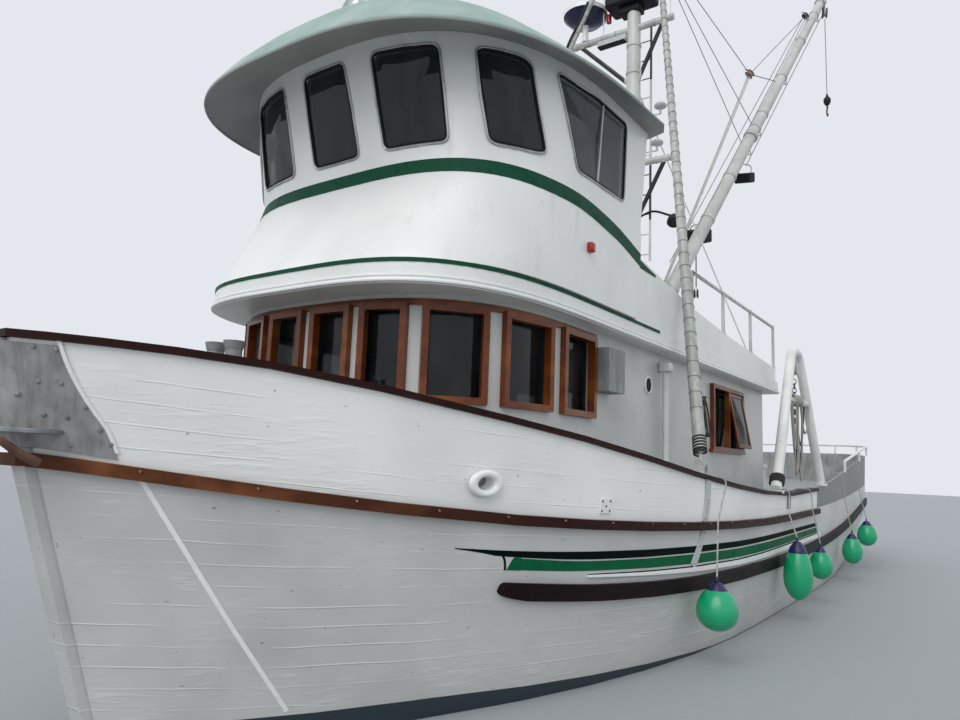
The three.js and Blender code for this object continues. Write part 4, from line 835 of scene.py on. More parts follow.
# Hull dressing: bands painted or planted on the planking, by distance forward and height
mouldingTop = [(5.75, 1.052), (4.92, 1.018), (3.71, 0.985), (1.67, 0.965), (-2.27, 1.02)]
bands = {
    "dark_sheer_band": {
        "low": [
            *[(7.14, 1.345), (6.9, 1.305), (6.73, 1.27), (5.78, 1.192), (4.07, 1.145)],
            *[(1.68, 1.12), (-2.0, 1.145)],
        ],
        "high": [
            *[(7.14, 1.35), (6.9, 1.33), (6.71, 1.315), (6.06, 1.275), (4.94, 1.235)],
            *[(3.73, 1.21), (1.68, 1.185), (-2.0, 1.205)],
        ],
        "ends": (7.12, -1.98),
        "lift": 0.003,
        "finish": "ink",
    },
    "green_sheer_band": {
        "low": [(6.62, 1.15), (5.76, 1.089), (4.06, 1.03), (1.67, 0.995), (-2.0, 1.04)],
        "high": [(6.62, 1.25), (5.77, 1.178), (4.07, 1.13), (1.68, 1.1), (-2.0, 1.125)],
        "ends": (6.5, -1.98),
        "lift": 0.003,
        "finish": "green",
    },
    "white_moulding": {
        "low": [(5.75, 1.03), (4.92, 0.985), (3.71, 0.935), (1.67, 0.905), (-2.27, 0.955)],
        "high": mouldingTop,
        "ends": (5.7, -2.2),
        "lift": 0.022,
        "finish": "white",
        "bevel": 0.004,
    },
    # A dark line in the joint over the white moulding: a painted shadow
    "moulding_shadow_line": {
        "low": mouldingTop,
        "high": [(5.75, 1.06), (4.92, 1.03), (3.71, 0.999), (1.67, 0.98), (-2.27, 1.035)],
        "ends": (5.7, -2.0),
        "lift": 0.003,
        "finish": "ink",
    },
}
for name, band in bands.items():
    rings = bandRings(band["low"], band["high"], *band["ends"], hullHalf, band["lift"])
    solid(name, mirrored(rings), "boat", band["finish"], bevel=band.get("bevel", 0.0))

bandNose = {
    "low": [(6.625, 1.148), (6.6, 1.146), (6.57, 1.144), (6.49, 1.138)],
    "high": [(6.625, 1.15), (6.6, 1.2), (6.57, 1.247), (6.49, 1.242)],
    "lift": 0.003,
}
edges = [smoothPath(bandNose[key], 8) for key in ("low", "high")]
nose = mirrored(ribbonRings(*edges, hullHalf, bandNose["lift"]))
solid("green_band_nose", nose, "boat", "green")


def strip(name, look, half, key, bevel=0.0):
    # Strips of even width on both sides of the hull
    rings = stripRings(look["path"], look["width"], half, look["lift"])
    solid(name, mirrored(rings), "boat", key, bevel=bevel)


spur = {"path": [(6.7, 1.3), (6.655, 1.23), (6.64, 1.15)], "width": 0.018, "lift": 0.0032}
strip("sheer_band_spur", spur, hullHalf, "ink")
seam = {"path": [(9.23, 1.899), (8.92, 1.406), (8.58, 0.873), (8.11, 0.2)], "width": 0.026, "lift": 0.006}
strip("bow_seam_batten", seam, hullHalf, "white")

lowerGuard = {
    "middle": [(-9.3, 1.4), (-8, 1.29), (-4.5, 0.975), (-1, 0.815), (3.5, 0.815), (5.4, 0.875), (6.9, 1.0)],
    "half": 0.074,
    "nose": (6.69, 6.3, 24),  # from, to and number of points
    "run": (6.25, -9.29, 130),
    "round": (0.34, 0.07),  # length of the rounding at the front, below and above
    "thickness": 0.058,
    "rows": 7,
    "bevel": 0.01,
}


def lowerGuardRings(look):
    # Rubbing strake: half height * (1 - t**2) ** 0.5 over the nose, t from 0 to 1 at the front end
    xs = np.concatenate([np.linspace(*look["nose"]), np.linspace(*look["run"])])
    middle = fair(look["middle"], xs)
    low, top = (
        look["half"] * np.sqrt(1 - np.clip((xs - look["nose"][0] + length) / length, 0, 1) ** 2)
        for length in look["round"]
    )
    edges = [np.stack([xs, middle + offset], -1) for offset in (-low, top)]
    return ribbonRings(*edges, hullHalf, look["thickness"], rows=look["rows"])


sides = (("port", 1), ("starboard", -1))
strakes = lowerGuardRings(lowerGuard)
for label, side in sides:
    name = f"lower_strake_{label}"
    strake = solid(name, strakes * [1, side, 1], "boat", "tarred", bevel=lowerGuard["bevel"])
    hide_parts(f"lower_guard_{label}")

bowPlate = {
    # The plate's aft edge: height and distance forward
    "edge": [
        *[(1.9, 9.3), (2.0, 9.345), (2.151, 9.42), (2.262, 9.5)],
        *[(2.4, 9.59), (2.58, 9.685), (2.71, 9.74), (2.8, 9.775)],
    ],
    "deck": 2.0,
    "front": 9.69,  # where it meets the nose at the height of the deck
    "rake": 0.33,
    "corner": [(0.072, 0.118), (0.09, 0.098), (0.092, 0.0)],  # forward and half breadth round the stem
    "grid": (15, 12),
    "lift": 0.016,
    "overDeck": 0.03,
    "thickness": 0.024,
    "topSlope": 0.06,
    "topAt": 10.0,
}


def bowPlateRings(look):
    # At each height the plate runs forward from its curved edge, over the stem and back along the other side
    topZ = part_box("bow_plates")[1][2]
    rise, share = np.meshgrid(*(np.linspace(0, 1, count) for count in look["grid"]), indexing="ij")
    z = look["deck"] + (topZ - look["deck"]) * rise
    for _ in range(2):
        front = look["front"] + look["rake"] * (z - look["deck"])
        edge = fair(look["edge"], z)
        x = edge + (front - edge) * share
        low = fair(hullForm["deckEdge"], x) + look["overDeck"]
        z = low + (topZ - look["topSlope"] * (look["topAt"] - x) - low) * rise
    ahead, half = np.array(look["corner"]).T
    side = points(x, bulwarkHalf(x, z) + look["lift"], z)
    nose = points(x[:, -1:] + ahead, half, z[:, -1:])
    flip = np.array([1, -1, 1])
    outer = np.concatenate([side, nose, (nose * flip)[:, 1::-1], (side * flip)[:, ::-1]], axis=1)
    along = unit(np.gradient(outer[..., :2], axis=1))
    outward = points(-along[..., 1], along[..., 0], 0)
    return np.concatenate([outer, (outer - outward * look["thickness"])[:, ::-1]], axis=1)


plating = solid("bow_plating", bowPlateRings(bowPlate), "boat", "bowPlate", sharp=30)
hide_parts("bow_plates")
caulk = {"path": [(x - 0.006, z) for z, x in bowPlate["edge"][1:-1]], "width": 0.017, "lift": 0.022}
strip("bow_plate_caulk", caulk, bulwarkHalf, "white", 0.003)

shelf = {"middle": (9.84, 0, 2.1225), "reach": 0.285, "half": 0.43, "thick": 0.03, "power": 1.5}
angle = np.arange(48) * 2 * math.pi / 48
swell = np.sign(np.sin(angle)) * np.abs(np.sin(angle)) ** (1 / shelf["power"])
oval = points(shelf["reach"] * np.cos(angle), shelf["half"] * swell, 0) + shelf["middle"]
levels = points(0, 0, np.array([-0.5, 0.5]) * shelf["thick"])[:, None]
plateShelf = solid("anchor_shelf", oval + levels, "boat", "plate", sharp=30, bevel=0.006)
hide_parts("bow_shelf")


def onHull(places, half, lift):
    # Points on the port side and the direction outward there, from the slope of the half breadth
    x, z = np.asarray(places, float).T
    step = 0.02
    ahead = (half(x + step, z) - half(x - step, z)) / (2 * step)
    rise = (half(x, z + step) - half(x, z - step)) / (2 * step)
    outward = unit(points(-ahead, 1, -rise))
    return points(x, half(x, z), z) + outward * lift, outward


def studs(name, places, half, look, key, sides=10):
    rings = mirrored(turned(look["head"], *onHull(places, half, look["lift"]), sides))
    solid(name, rings, "boat", key, sharp=30)


plateBolts = {
    "places": [
        *[(9.817, 2.654), (9.72, 2.644), (9.755, 2.44), (9.659, 2.435), (9.528, 2.291), (9.593, 2.223)],
        *[(9.691, 2.235), (9.435, 2.149), (9.547, 2.046), (9.37, 2.06), (9.834, 2.351)],
    ],
    "head": [(0, 0.012), (0.011, 0.009), (0.016, 0.0), (0.016, -0.03), (0, -0.03)],
    "lift": 0.016,
}
studs("bow_plate_bolts", plateBolts["places"], bulwarkHalf, plateBolts, "plate")

chainplates = {
    "lower": {
        "path": [(3.64, 1.37), (3.76, 1.2), (3.9, 1.0)],
        "bolts": [(3.66, 1.34), (3.75, 1.21), (3.87, 1.04)],
        "half": hullHalf,
    },
    "upper": {
        "path": [(3.6, 1.95), (3.59, 1.7), (3.64, 1.46)],
        "bolts": [(3.6, 1.9), (3.59, 1.72), (3.63, 1.52)],
        "half": bulwarkHalf,
    },
    "shape": {
        "width": 0.11,
        "lift": 0.014,
        "head": [(0, 0.012), (0.012, 0.009), (0.018, 0.0), (0.018, -0.01), (0, -0.01)],
    },
}
for level in ("lower", "upper"):
    look = {**chainplates["shape"], **chainplates[level]}
    strip(f"{level}_chainplates", look, look["half"], "grey", 0.003)
    studs(f"{level}_chainplate_bolts", look["bolts"], look["half"], look, "zinc")

sidePlates = {
    "scupper": ((5.46, 5.61), (1.6, 1.74)),
    "aft": ((0.2, -0.02), (1.5, 1.69)),
    "lift": 0.01,
    "bolts": [(5.48, 1.625), (5.59, 1.625), (5.48, 1.715), (5.59, 1.715), (5.535, 1.67)],
    "head": [(0, 0.008), (0.008, 0.006), (0.011, 0.0), (0.011, -0.008), (0, -0.008)],
}
for name, key in (("scupper", "white"), ("aft", "plate")):
    ends, heights = sidePlates[name]
    xs = np.linspace(*ends, 4)
    edges = [np.stack([xs, np.full_like(xs, z)], -1) for z in heights]
    plate = mirrored(ribbonRings(*edges, bulwarkHalf, sidePlates["lift"]))
    solid(f"{name}_plates", plate, "boat", key, bevel=0.002)
studs("scupper_plate_bolts", sidePlates["bolts"], bulwarkHalf, sidePlates, "iron", 8)

# Turned plugs over the bolt heads of the guard
guardPlugs = {
    "spread": (9.2, -2.0, 19),
    "above": -0.01,
    "lift": 0.063,
    "head": [(0, 0.003), (0.006, 0.002), (0.008, 0.0), (0.008, -0.02), (0, -0.02)],
}
plugX = np.linspace(*guardPlugs["spread"])
plugs = np.stack([plugX, fair(hullForm["deckEdge"], plugX) + guardPlugs["above"]], -1)
studs("guard_plugs", plugs, bulwarkHalf, guardPlugs, "plug", 8)
print("hull dressed")

# Plans of the houses' solids, in metres
plans = {
    "house": {"front": 7.38, "half": 1.72, "mid": 5.5, "power": 2.9, "aft": -1.8},
    "boatDeck": {"front": 7.73, "half": 1.9, "mid": 5.2, "power": 3.5, "aft": -2.2},
    "pilot": [
        {"z": 3.68, "front": 7.69, "half": 1.935, "mid": 5.1, "power": 3.5, "aft": 4.35},
        {"z": 4.58, "front": 7.18, "half": 1.975, "mid": 5.0, "power": 3.5, "aft": 4.35},
        {"z": 4.74, "front": 7.14, "half": 1.965, "mid": 5.0, "power": 3.4, "aft": 4.35},
        {"z": 5.85, "front": 7.48, "half": 2.04, "mid": 5.0, "power": 2.7, "aft": 4.35},
    ],
    "brim": {"front": 8.05, "half": 2.285, "mid": 5.0, "power": 2.9, "aft": 4.18},
    "brimFrontZ": 5.6,
    "brimAftZ": 5.86,
}


def planLine(plan, aft, count):
    # Superellipse from port aft round the front to starboard aft, points close together along its length
    angle = np.linspace(math.pi / 2, -math.pi / 2, 721)
    fore = np.maximum(np.cos(angle), 0) ** (2 / plan["power"])
    side = np.sign(np.sin(angle)) * np.abs(np.sin(angle)) ** (2 / plan["power"])
    line = np.stack([plan["mid"] + (plan["front"] - plan["mid"]) * fore, plan["half"] * side], -1)
    line = np.concatenate([[[aft, plan["half"]]], line, [[aft, -plan["half"]]]])
    along = np.concatenate([[0], np.cumsum(np.linalg.norm(np.diff(line, axis=0), axis=1))])
    at = np.linspace(0, along[-1], count)
    return np.stack([np.interp(at, along, line[:, k]) for k in (0, 1)], -1)


def outwardOf(line):
    # Direction square to a plan line that runs from port round the front to starboard
    along = unit(np.gradient(line, axis=0))
    return np.stack([-along[:, 1], along[:, 0]], -1)


def mouldRings(line, section):
    # Section (out, height) carried along a plan line
    out = outwardOf(line)
    section = np.asarray(section, float)
    flat = line[:, None] + out[:, None] * section[None, :, :1]
    height = np.broadcast_to(section[None, :, 1:], (*flat.shape[:2], 1))
    return np.concatenate([flat, height], -1)


def planFront(plan, y):
    return plan["mid"] + (plan["front"] - plan["mid"]) * (
        np.maximum(1 - (np.abs(y) / plan["half"]) ** plan["power"], 0)
    ) ** (1 / plan["power"])


def planSide(plan, x):
    t = np.clip((x - plan["mid"]) / (plan["front"] - plan["mid"]), 0, 1)
    return plan["half"] * (1 - t ** plan["power"]) ** (1 / plan["power"])


def pilotPlan(z):
    # Plan of the pilothouse wall at a height, or at an array of heights
    table = plans["pilot"]
    heights = [plan["z"] for plan in table]
    keys = ("front", "half", "mid", "power")
    return {key: np.interp(z, heights, [plan[key] for plan in table]) for key in keys}


brow = {
    "line": planLine(plans["boatDeck"], -2.2, 160),
    "pinstripe": [(-0.004, 3.64), (0.006, 3.64), (0.006, 3.676), (-0.004, 3.676)],
    "pinstripeAft": 3.5,
    "ledge": [(-0.006, 3.465), (0.03, 3.472), (0.034, 3.485), (0.03, 3.5), (-0.006, 3.505)],
    "bead": [(-0.006, 3.52), (0.012, 3.524), (0.012, 3.538), (-0.006, 3.542)],
}
stripeLine = brow["line"][brow["line"][:, 0] > brow["pinstripeAft"]]
solid("brow_pinstripe", mouldRings(stripeLine, brow["pinstripe"]), "boat", "band")
for name in ("ledge", "bead"):
    solid(f"brow_{name}", mouldRings(brow["line"], brow[name]), "boat", "white", sharp=25)

crownBand = {
    "top": [(4.35, 4.425), (4.95, 4.555), (5.68, 4.65), (6.29, 4.68), (7.14, 4.745)],
    "height": 0.14,
    "aft": 4.352,
    "faces": (0.004, -0.01),  # outside and inside, from the wall
    "count": 150,
}


def wallRings(look):
    # Band on the pilothouse wall that follows the table of top heights against x
    v = np.linspace(0, 1, 4)
    crown = plans["pilot"][2]
    base = planLine(crown, look["aft"], look["count"])
    level = fair(look["top"], base[:, 0])[:, None] - look["height"] * (1 - v)
    plan = pilotPlan(level)
    # The same share of the way round as on the base line
    beside = np.abs(base[:, 1:]) / crown["half"]
    ahead = np.maximum((base[:, :1] - crown["mid"]) / (crown["front"] - crown["mid"]), 0)
    angle = np.arctan2(beside ** (crown["power"] / 2), ahead ** (crown["power"] / 2))
    aft = base[:, :1] < crown["mid"]
    fore = plan["mid"] + (plan["front"] - plan["mid"]) * np.cos(angle) ** (2 / plan["power"])
    x = np.where(aft, base[:, :1], fore)
    half = np.where(aft, plan["half"], plan["half"] * np.sin(angle) ** (2 / plan["power"]))
    y = half * np.sign(base[:, 1:])
    normal = np.concatenate([outwardOf(base), np.zeros((len(base), 1))], -1)[:, None]
    outside, inside = (points(x, y, level) + normal * out for out in look["faces"])
    return np.concatenate([outside, inside[:, ::-1]], axis=1)


solid("crown_band", wallRings(crownBand), "boat", "band")
bandEnd = {
    "x": (4.335, 3.66, 10),
    "top": [(3.6, 4.342), (3.86, 4.38), (4.1, 4.42), (4.34, 4.458)],
    "half": 1.87,
    "height": (0.12, 0.03),  # at its front and its aft end
}
xs = np.linspace(*bandEnd["x"])
topZ = fair(bandEnd["top"], xs)
lowZ = topZ - np.linspace(*bandEnd["height"], len(xs))
outside, inside = (bandEnd["half"] + out for out in crownBand["faces"])
corners = ((outside, lowZ), (outside, topZ), (inside, topZ), (inside, lowZ))
sheetEnd = np.stack([points(xs, half, height) for half, height in corners], 1)
solid("crown_band_ends", mirrored(sheetEnd), "boat", "band")

# Pilothouse windows: flat panes set near the wall's face in a rubber and alloy rim
panes = {
    "front": [
        {"sill": (-0.3, 0.3), "head": (-0.27, 0.27)},
        {"sill": (0.63, 1.25), "head": (0.61, 1.23)},
        {"sill": (1.565, 1.86), "head": (1.505, 1.805)},
    ],
    "side": {"sill": (5.84, 4.85), "head": (6.23, 4.915)},
    "sillZ": 4.89,
    "headZ": 5.72,
    "corner": 0.075,
    "glassIn": 0.012,
    "glass": 0.006,
    "rubber": 0.014,
    "rubberIn": 0.004,
    "alloy": 0.013,
    "alloyOut": 0.022,
    "inside": (5.4, 0, 5.3),  # a point in the middle of the house
    "dividerX": 5.45,
    "divider": 0.016,
    "dividerIn": 0.012,
}


def roundedLoop(corners, radius):
    # Polygon (corners, 2), each corner replaced by a quadratic curve from radius before to radius after it
    corners = np.asarray(corners, float)
    before = corners + unit(np.roll(corners, 1, 0) - corners) * radius
    after = corners + unit(np.roll(corners, -1, 0) - corners) * radius
    t = np.linspace(0, 1, 6)[:, None, None]
    arc = before * (1 - t) ** 2 + corners * 2 * t * (1 - t) + after * t**2
    # A point halfway along each straight keeps the rim on the curved wall
    halfway = (after + np.roll(before, -1, 0))[None] / 2
    return np.concatenate([arc, halfway]).transpose(1, 0, 2).reshape(-1, 2)


def windowLoop(window, place):
    levels = [panes["sillZ"], panes["sillZ"], panes["headZ"], panes["headZ"]]
    return place(roundedLoop(list(zip([*window["sill"], *window["head"][::-1]], levels)), panes["corner"]))


def frontPlace(flat):
    return points(planFront(pilotPlan(flat[:, 1]), flat[:, 0]), flat[:, 0], flat[:, 1])


def sidePlace(flat):
    return points(flat[:, 0], planSide(pilotPlan(flat[:, 1]), flat[:, 0]), flat[:, 1])


loops = [windowLoop(window, frontPlace) for window in panes["front"]] + [windowLoop(panes["side"], sidePlace)]
loops = np.concatenate([loops, np.array(loops[1:]) * [1, -1, 1]])
onSide = np.array([False, False, False, True, False, False, True])
middles = loops.mean(axis=1, keepdims=True)
# Outward direction of each pane: square to its own outline
spans = np.cross(loops[:, 8] - loops[:, 1], loops[:, 20] - loops[:, 1])
facing = np.sign((spans * (middles[:, 0] - panes["inside"])).sum(-1, keepdims=True))
outs = unit(spans * facing)[:, None]
scale = np.array([0.001, 0.35, 0.7, 1.0])[:, None, None]
sheets = middles[:, None] + (loops - middles)[:, None] * scale
front = sheets - outs[:, None] * panes["glassIn"]
back = sheets[:, ::-1] - outs[:, None] * (panes["glassIn"] + panes["glass"])
sheets = np.concatenate([front, back], axis=1)
glass = solid("pilothouse_panes", sheets[~onSide], "boat", "clear", sharp=60)
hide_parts("pilothouse_glass")
solid("pilothouse_side_panes", sheets[onSide], "boat", "pale", sharp=60)
gasket = loops - outs * panes["rubberIn"]
tube("window_gaskets", gasket, panes["rubber"], "boat", "rubber", 8, ring=True)
wider = loops + unit(loops - middles) * panes["alloyOut"]
tube("window_rims", wider, panes["alloy"], "boat", "alloy", 8, ring=True)
ends = np.array([panes["sillZ"], panes["headZ"]])
lean = planSide(pilotPlan(ends), panes["dividerX"]) - panes["dividerIn"]
bars = points(panes["dividerX"], np.array([[1], [-1]]) * lean, ends)
tube("side_window_dividers", bars, panes["divider"], "boat", "alloy")
print("windows set")

# Small fittings of the houses
sidelight = {
    "place": (5.587, 1.975, 4.173),
    "size": (0.09, 0.07, 0.1),
    "basePlace": (5.587, 1.925, 4.173),
    "base": (0.11, 0.03, 0.12),
}
for name, side, key in (("sidelight", 1, "red"), ("starboard_sidelight", -1, "green")):
    lamp = boxRings(sidelight["place"], sidelight["size"]) * [1, side, 1]
    solid(name, lamp, "boat", key, bevel=0.02)
bases = mirrored(boxRings(sidelight["basePlace"], sidelight["base"]))
solid("sidelight_bases", bases, "boat", "white", bevel=0.008)

porthole = {
    "place": (3.51, 1.722, 3.03),
    "ring": [(0.086, -0.01), (0.086, 0.012), (0.094, 0.018), (0.108, 0.014), (0.112, -0.01)],
    "pane": [(0, -0.006), (0.088, -0.006), (0.088, 0.006), (0, 0.006)],
}
ring, pane = (mirrored(turned(porthole[key], porthole["place"], (0, 1, 0), 28)) for key in ("ring", "pane"))
solid("porthole_rings", ring, "boat", "white", wrap=True)
# The pane is solid black: painted shade of the dark cabin behind the glass
solid("porthole_panes", pane, "boat", "rubber")

vent = {
    "head": (3.13, 1.8, 3.29),
    "size": (0.12, 0.16, 0.12),
    "ring": [(0.041, -0.02), (0.062, -0.02), (0.062, 0.02), (0.041, 0.02)],
    "ringAt": (3.13, 1.8, 1.98),
}
solid("vent_head", boxRings(vent["head"], vent["size"]), "boat", "pipe", bevel=0.02)
solid("vent_ring", turned(vent["ring"], vent["ringAt"], (0, 0, 1)), "boat", "pipe", wrap=True)

hawse = {
    "section": [
        *[(0.055, -0.1), (0.078, -0.1), (0.078, 0.0), (0.1, 0.0), (0.11, 0.012), (0.111, 0.03)],
        *[(0.104, 0.045), (0.09, 0.054), (0.07, 0.05), (0.058, 0.038), (0.055, 0.02)],
    ],
    "stretch": 1.5,
    "lift": 0.002,
}
low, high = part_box("hawse_ring_port")
middle = [((low[0] + high[0]) / 2, (low[2] + high[2]) / 2)]
(spot,), (outward,) = onHull(middle, bulwarkHalf, hawse["lift"])
ahead = unit(np.cross(outward, [0, 0, 1]))
upward = np.cross(ahead, outward)
reach, out = np.array(hawse["section"]).T
lip = circles(spot + outward * out[:, None], reach[:, None, None], ahead * hawse["stretch"], upward, 40)
for label, side in sides:
    name = f"hawse_lip_{label}"
    ring = solid(name, lip * [1, side, 1], "boat", "white", wrap=True, sharp=50)
    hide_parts(f"hawse_ring_{label}")

hopper = {
    "x": (-0.37, 0.33),
    "top": (1.75, 3.24),  # half breadth and height
    "foot": (1.9, 2.39),
    "rail": 0.055,
    "thick": 0.03,
    "glass": 0.006,
}
(x0, x1), (topY, topZ), (footY, footZ) = hopper["x"], hopper["top"], hopper["foot"]
corners = np.array([(x0, footY, footZ), (x1, footY, footZ), (x1, topY, topZ), (x0, topY, topZ)])
through = unit(np.cross(corners[1] - corners[0], corners[3] - corners[0]))
before, after = (unit(np.roll(corners, shift, 0) - corners) for shift in (1, -1))
inner = corners + hopper["rail"] * (before + after)
half = through * hopper["thick"] / 2
sash = np.stack([corners - half, corners + half, inner + half, inner - half], 1)
solid("galley_hoppers", mirrored(sash), "boat", "varnish", wrap=True, bevel=0.004)
half = through * hopper["glass"] / 2
pane = mirrored(np.stack([inner - half, inner + half]))
solid("galley_hopper_panes", pane, "boat", "glass")

knobs = {
    "profile": [
        *[(0.0, 0.0), (0.034, 0.0), (0.034, 0.008), (0.014, 0.014)],
        *[(0.014, 0.05), (0.034, 0.062), (0.03, 0.08), (0, 0.084)],
    ],
    "fromEdge": 0.08,
    "height": 0.95,
}
for door in ("aft_door", "pilothouse_door"):
    low, high = (np.array(corner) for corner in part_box(door))
    hinge = next(joint for joint in frame["joints"] if joint["name"] == f"{door}_swing")["pos_m"]
    hungLow = abs(hinge[1] - low[1]) < abs(hinge[1] - high[1])
    farEdge = high[1] - knobs["fromEdge"] if hungLow else low[1] + knobs["fromEdge"]
    spot = (low[0], farEdge, low[2] + knobs["height"])
    solid(f"{door}_knobs", turned(knobs["profile"], spot, (-1, 0, 0)), door, "alloy")

deckLadder = {
    "x": -2.27,
    "rail": [(0, 1.47), (0, 3.6), (0, 4.35), (0.14, 4.55), (0.3, 4.35), (0.3, 3.72)],  # forward, height
    "y": (0.42, 0.63, 0.84),
    "rungs": (1.77, 3.6, 8),
    "railRadius": 0.022,
    "rungRadius": 0.014,
}
x, ys = deckLadder["x"], deckLadder["y"]
hoops = [[(x + ahead, y, z) for ahead, z in deckLadder["rail"]] for y in (ys[0], ys[-1])]
rails = np.stack([routed(hoop, 60, 3) for hoop in hoops])
tube("boat_deck_ladder", rails, deckLadder["railRadius"], "boat", "pipe", 8)
rungs = points(x, ys, np.linspace(*deckLadder["rungs"])[:, None])
tube("ladder_rungs", rungs, deckLadder["rungRadius"], "boat", "pipe")

lidRings = {"x": -5.35, "y": (-0.45, 0.45), "z": 2.212, "radius": 0.06, "wire": 0.011}
for k, y in enumerate(lidRings["y"], 1):
    path = circles((lidRings["x"], y, lidRings["z"]), lidRings["radius"], (1, 0, 0), (0, 1, 0), 16)
    tube(f"hatch_lid_ring_{k}", path, lidRings["wire"], "hatch_lid", "zinc", ring=True)

brimEdge = [(-0.012, -0.006), (0.006, -0.006), (0.01, 0.008), (0.006, 0.03), (-0.012, 0.03)]
brim = plans["brim"]
brimLine = planLine(brim, 4.2, 150)
fall = (brim["front"] - brimLine[:, 0]) / (brim["front"] - brim["aft"])
edgeRings = mouldRings(brimLine, brimEdge)
edgeRings[..., 2] += (plans["brimFrontZ"] + (plans["brimAftZ"] - plans["brimFrontZ"]) * fall)[:, None]
solid("brim_edge", edgeRings[12:-12], "boat", "roof", sharp=30)

searchlight = {
    "yoke": [
        *[(6.99, -0.11, 6.46), (6.99, -0.16, 6.6), (7.0, -0.12, 6.74), (7.0, 0.0, 6.77)],
        *[(7.0, 0.12, 6.74), (6.99, 0.16, 6.6), (6.99, 0.11, 6.46)],
    ],
    "bar": 0.014,
    "lens": [(0, 0.0), (0.105, 0.0), (0.122, 0.02), (0.11, 0.035), (0.06, 0.05), (0, 0.055)],
    "at": (7.12, 0, 6.58),
    "towards": (0.98, 0, 0.19),
}
yoke = smoothPath(searchlight["yoke"], 24)
tube("searchlight_yoke", yoke, searchlight["bar"], "boat", "black", 8)
lens = turned(searchlight["lens"], searchlight["at"], searchlight["towards"], 24)
solid("searchlight_lens", lens, "boat", "alloy")
print("house fittings ready")

# Mast gear
mastForm = {"x": 0.1, "base": 3.68, "top": 13.2, "radius": (0.16, 0.105)}


def mastRadius(z):
    t = (np.asarray(z) - mastForm["base"]) / (mastForm["top"] - mastForm["base"])
    return mastForm["radius"][0] + (mastForm["radius"][1] - mastForm["radius"][0]) * t


collars = {
    "mast_bands": {
        "at": [4.0, 5.75, 6.7, 8.2, 9.22, 9.76, 11.3, 12.2],
        "out": 0.014,
        "height": 0.07,
        "finish": "mast",
    },
    "mast_cap": {"at": [13.1], "out": 0.03, "height": 0.12, "finish": "zinc"},
}
for name, look in collars.items():
    radii = mastRadius(look["at"]) + look["out"]
    rings = sleeves(points(mastForm["x"], 0, look["at"]), (0, 0, 1), radii, look["height"], 24)
    solid(name, rings, "boat", look["finish"], bevel=0.006)

mastLadder = {
    "y": (0.1, 0.22, 0.34),
    "z": (5.62, 10.02),
    "rungs": (5.74, 9.77, 12),
    "radius": 0.022,
    "rung": 0.011,
}
rail = points(mastForm["x"], mastLadder["y"][-1], np.linspace(*mastLadder["z"], 12))
tube("mast_ladder_rail", rail, mastLadder["radius"], "boat", "mast", 8)
rungs = points(mastForm["x"], mastLadder["y"], np.linspace(*mastLadder["rungs"])[:, None])
tube("mast_rungs", rungs, mastLadder["rung"], "boat", "mast")

arms = {
    "upper": {"z": 10.1, "y": [-1.2, -0.92, -0.64, -0.36, 0.4, 0.62]},
    "lower": {"z": 7.45, "y": [-0.72, -0.45, 0.45, 0.72]},
    "radius": 0.07,
    "height": 0.036,
}
for name in ("upper", "lower"):
    places = points(mastForm["x"], arms[name]["y"], arms[name]["z"])
    rings = sleeves(places, (0, 1, 0), arms["radius"], arms["height"], 16)
    solid(f"{name}_arm_bands", rings, "boat", "zinc", bevel=0.004)

# Boxes at the masthead: place, size, finish and rounding
mastBoxes = {
    "mast_hood": ((0.1, -0.05, 10.72), (0.5, 0.9, 0.34), "black", 0.05),
    "mast_hood_foot": ((0.1, -0.05, 10.48), (0.26, 0.42, 0.16), "black", 0.03),
    "arm_floodlight": ((0.16, -0.4, 9.93), (0.16, 0.58, 0.12), "grey", 0.02),
    "arm_floodlight_lens": ((0.2, -0.4, 9.862), (0.12, 0.54, 0.03), "black", 0.01),
}
for name, (place, size, key, bevel) in mastBoxes.items():
    solid(name, boxRings(place, size), "boat", key, bevel=bevel)

mastLamps = {
    "mast_red_lamp": {
        "profile": [
            *[(0, 0), (0.05, 0), (0.052, 0.03), (0.045, 0.035)],
            *[(0.045, 0.12), (0.052, 0.125), (0.05, 0.155), (0, 0.16)],
        ],
        "at": (0.12, -0.5, 10.38),
        "towards": (0, 0, 1),
        "sides": 18,
        "finish": "red",
    },
    "antennas": {
        "profile": [
            *[(0, 0), (0.02, 0), (0.02, 0.1), (0.1, 0.12)],
            *[(0.115, 0.15), (0.09, 0.19), (0.04, 0.21), (0, 0.212)],
        ],
        "at": [(0.1, 0.52, 8.3), (0.1, 0.46, 7.62), (0.1, -0.4, 8.75)],
        "towards": (0, 0, 1),
        "sides": 18,
        "finish": "grey",
    },
    "mast_round_lamp": {
        "profile": [(0, -0.1), (0.07, -0.09), (0.11, -0.03), (0.13, 0.05), (0.12, 0.07), (0, 0.06)],
        "at": (0.13, 0.79, 6.28),
        "towards": (0.45, 0.25, -0.85),
        "sides": 22,
        "finish": "black",
    },
}
for name, look in mastLamps.items():
    rings = turned(look["profile"], look["at"], look["towards"], look["sides"])
    solid(name, rings, "boat", look["finish"])
x, y, z = np.array(mastLamps["antennas"]["at"]).T
side = np.sign(y)
brackets = np.stack([points(x, 0.1 * side, z), points(x, 0.3 * side, z + 0.01), points(x, y, z)], 1)
tube("antenna_brackets", brackets, 0.014, "boat", "zinc")

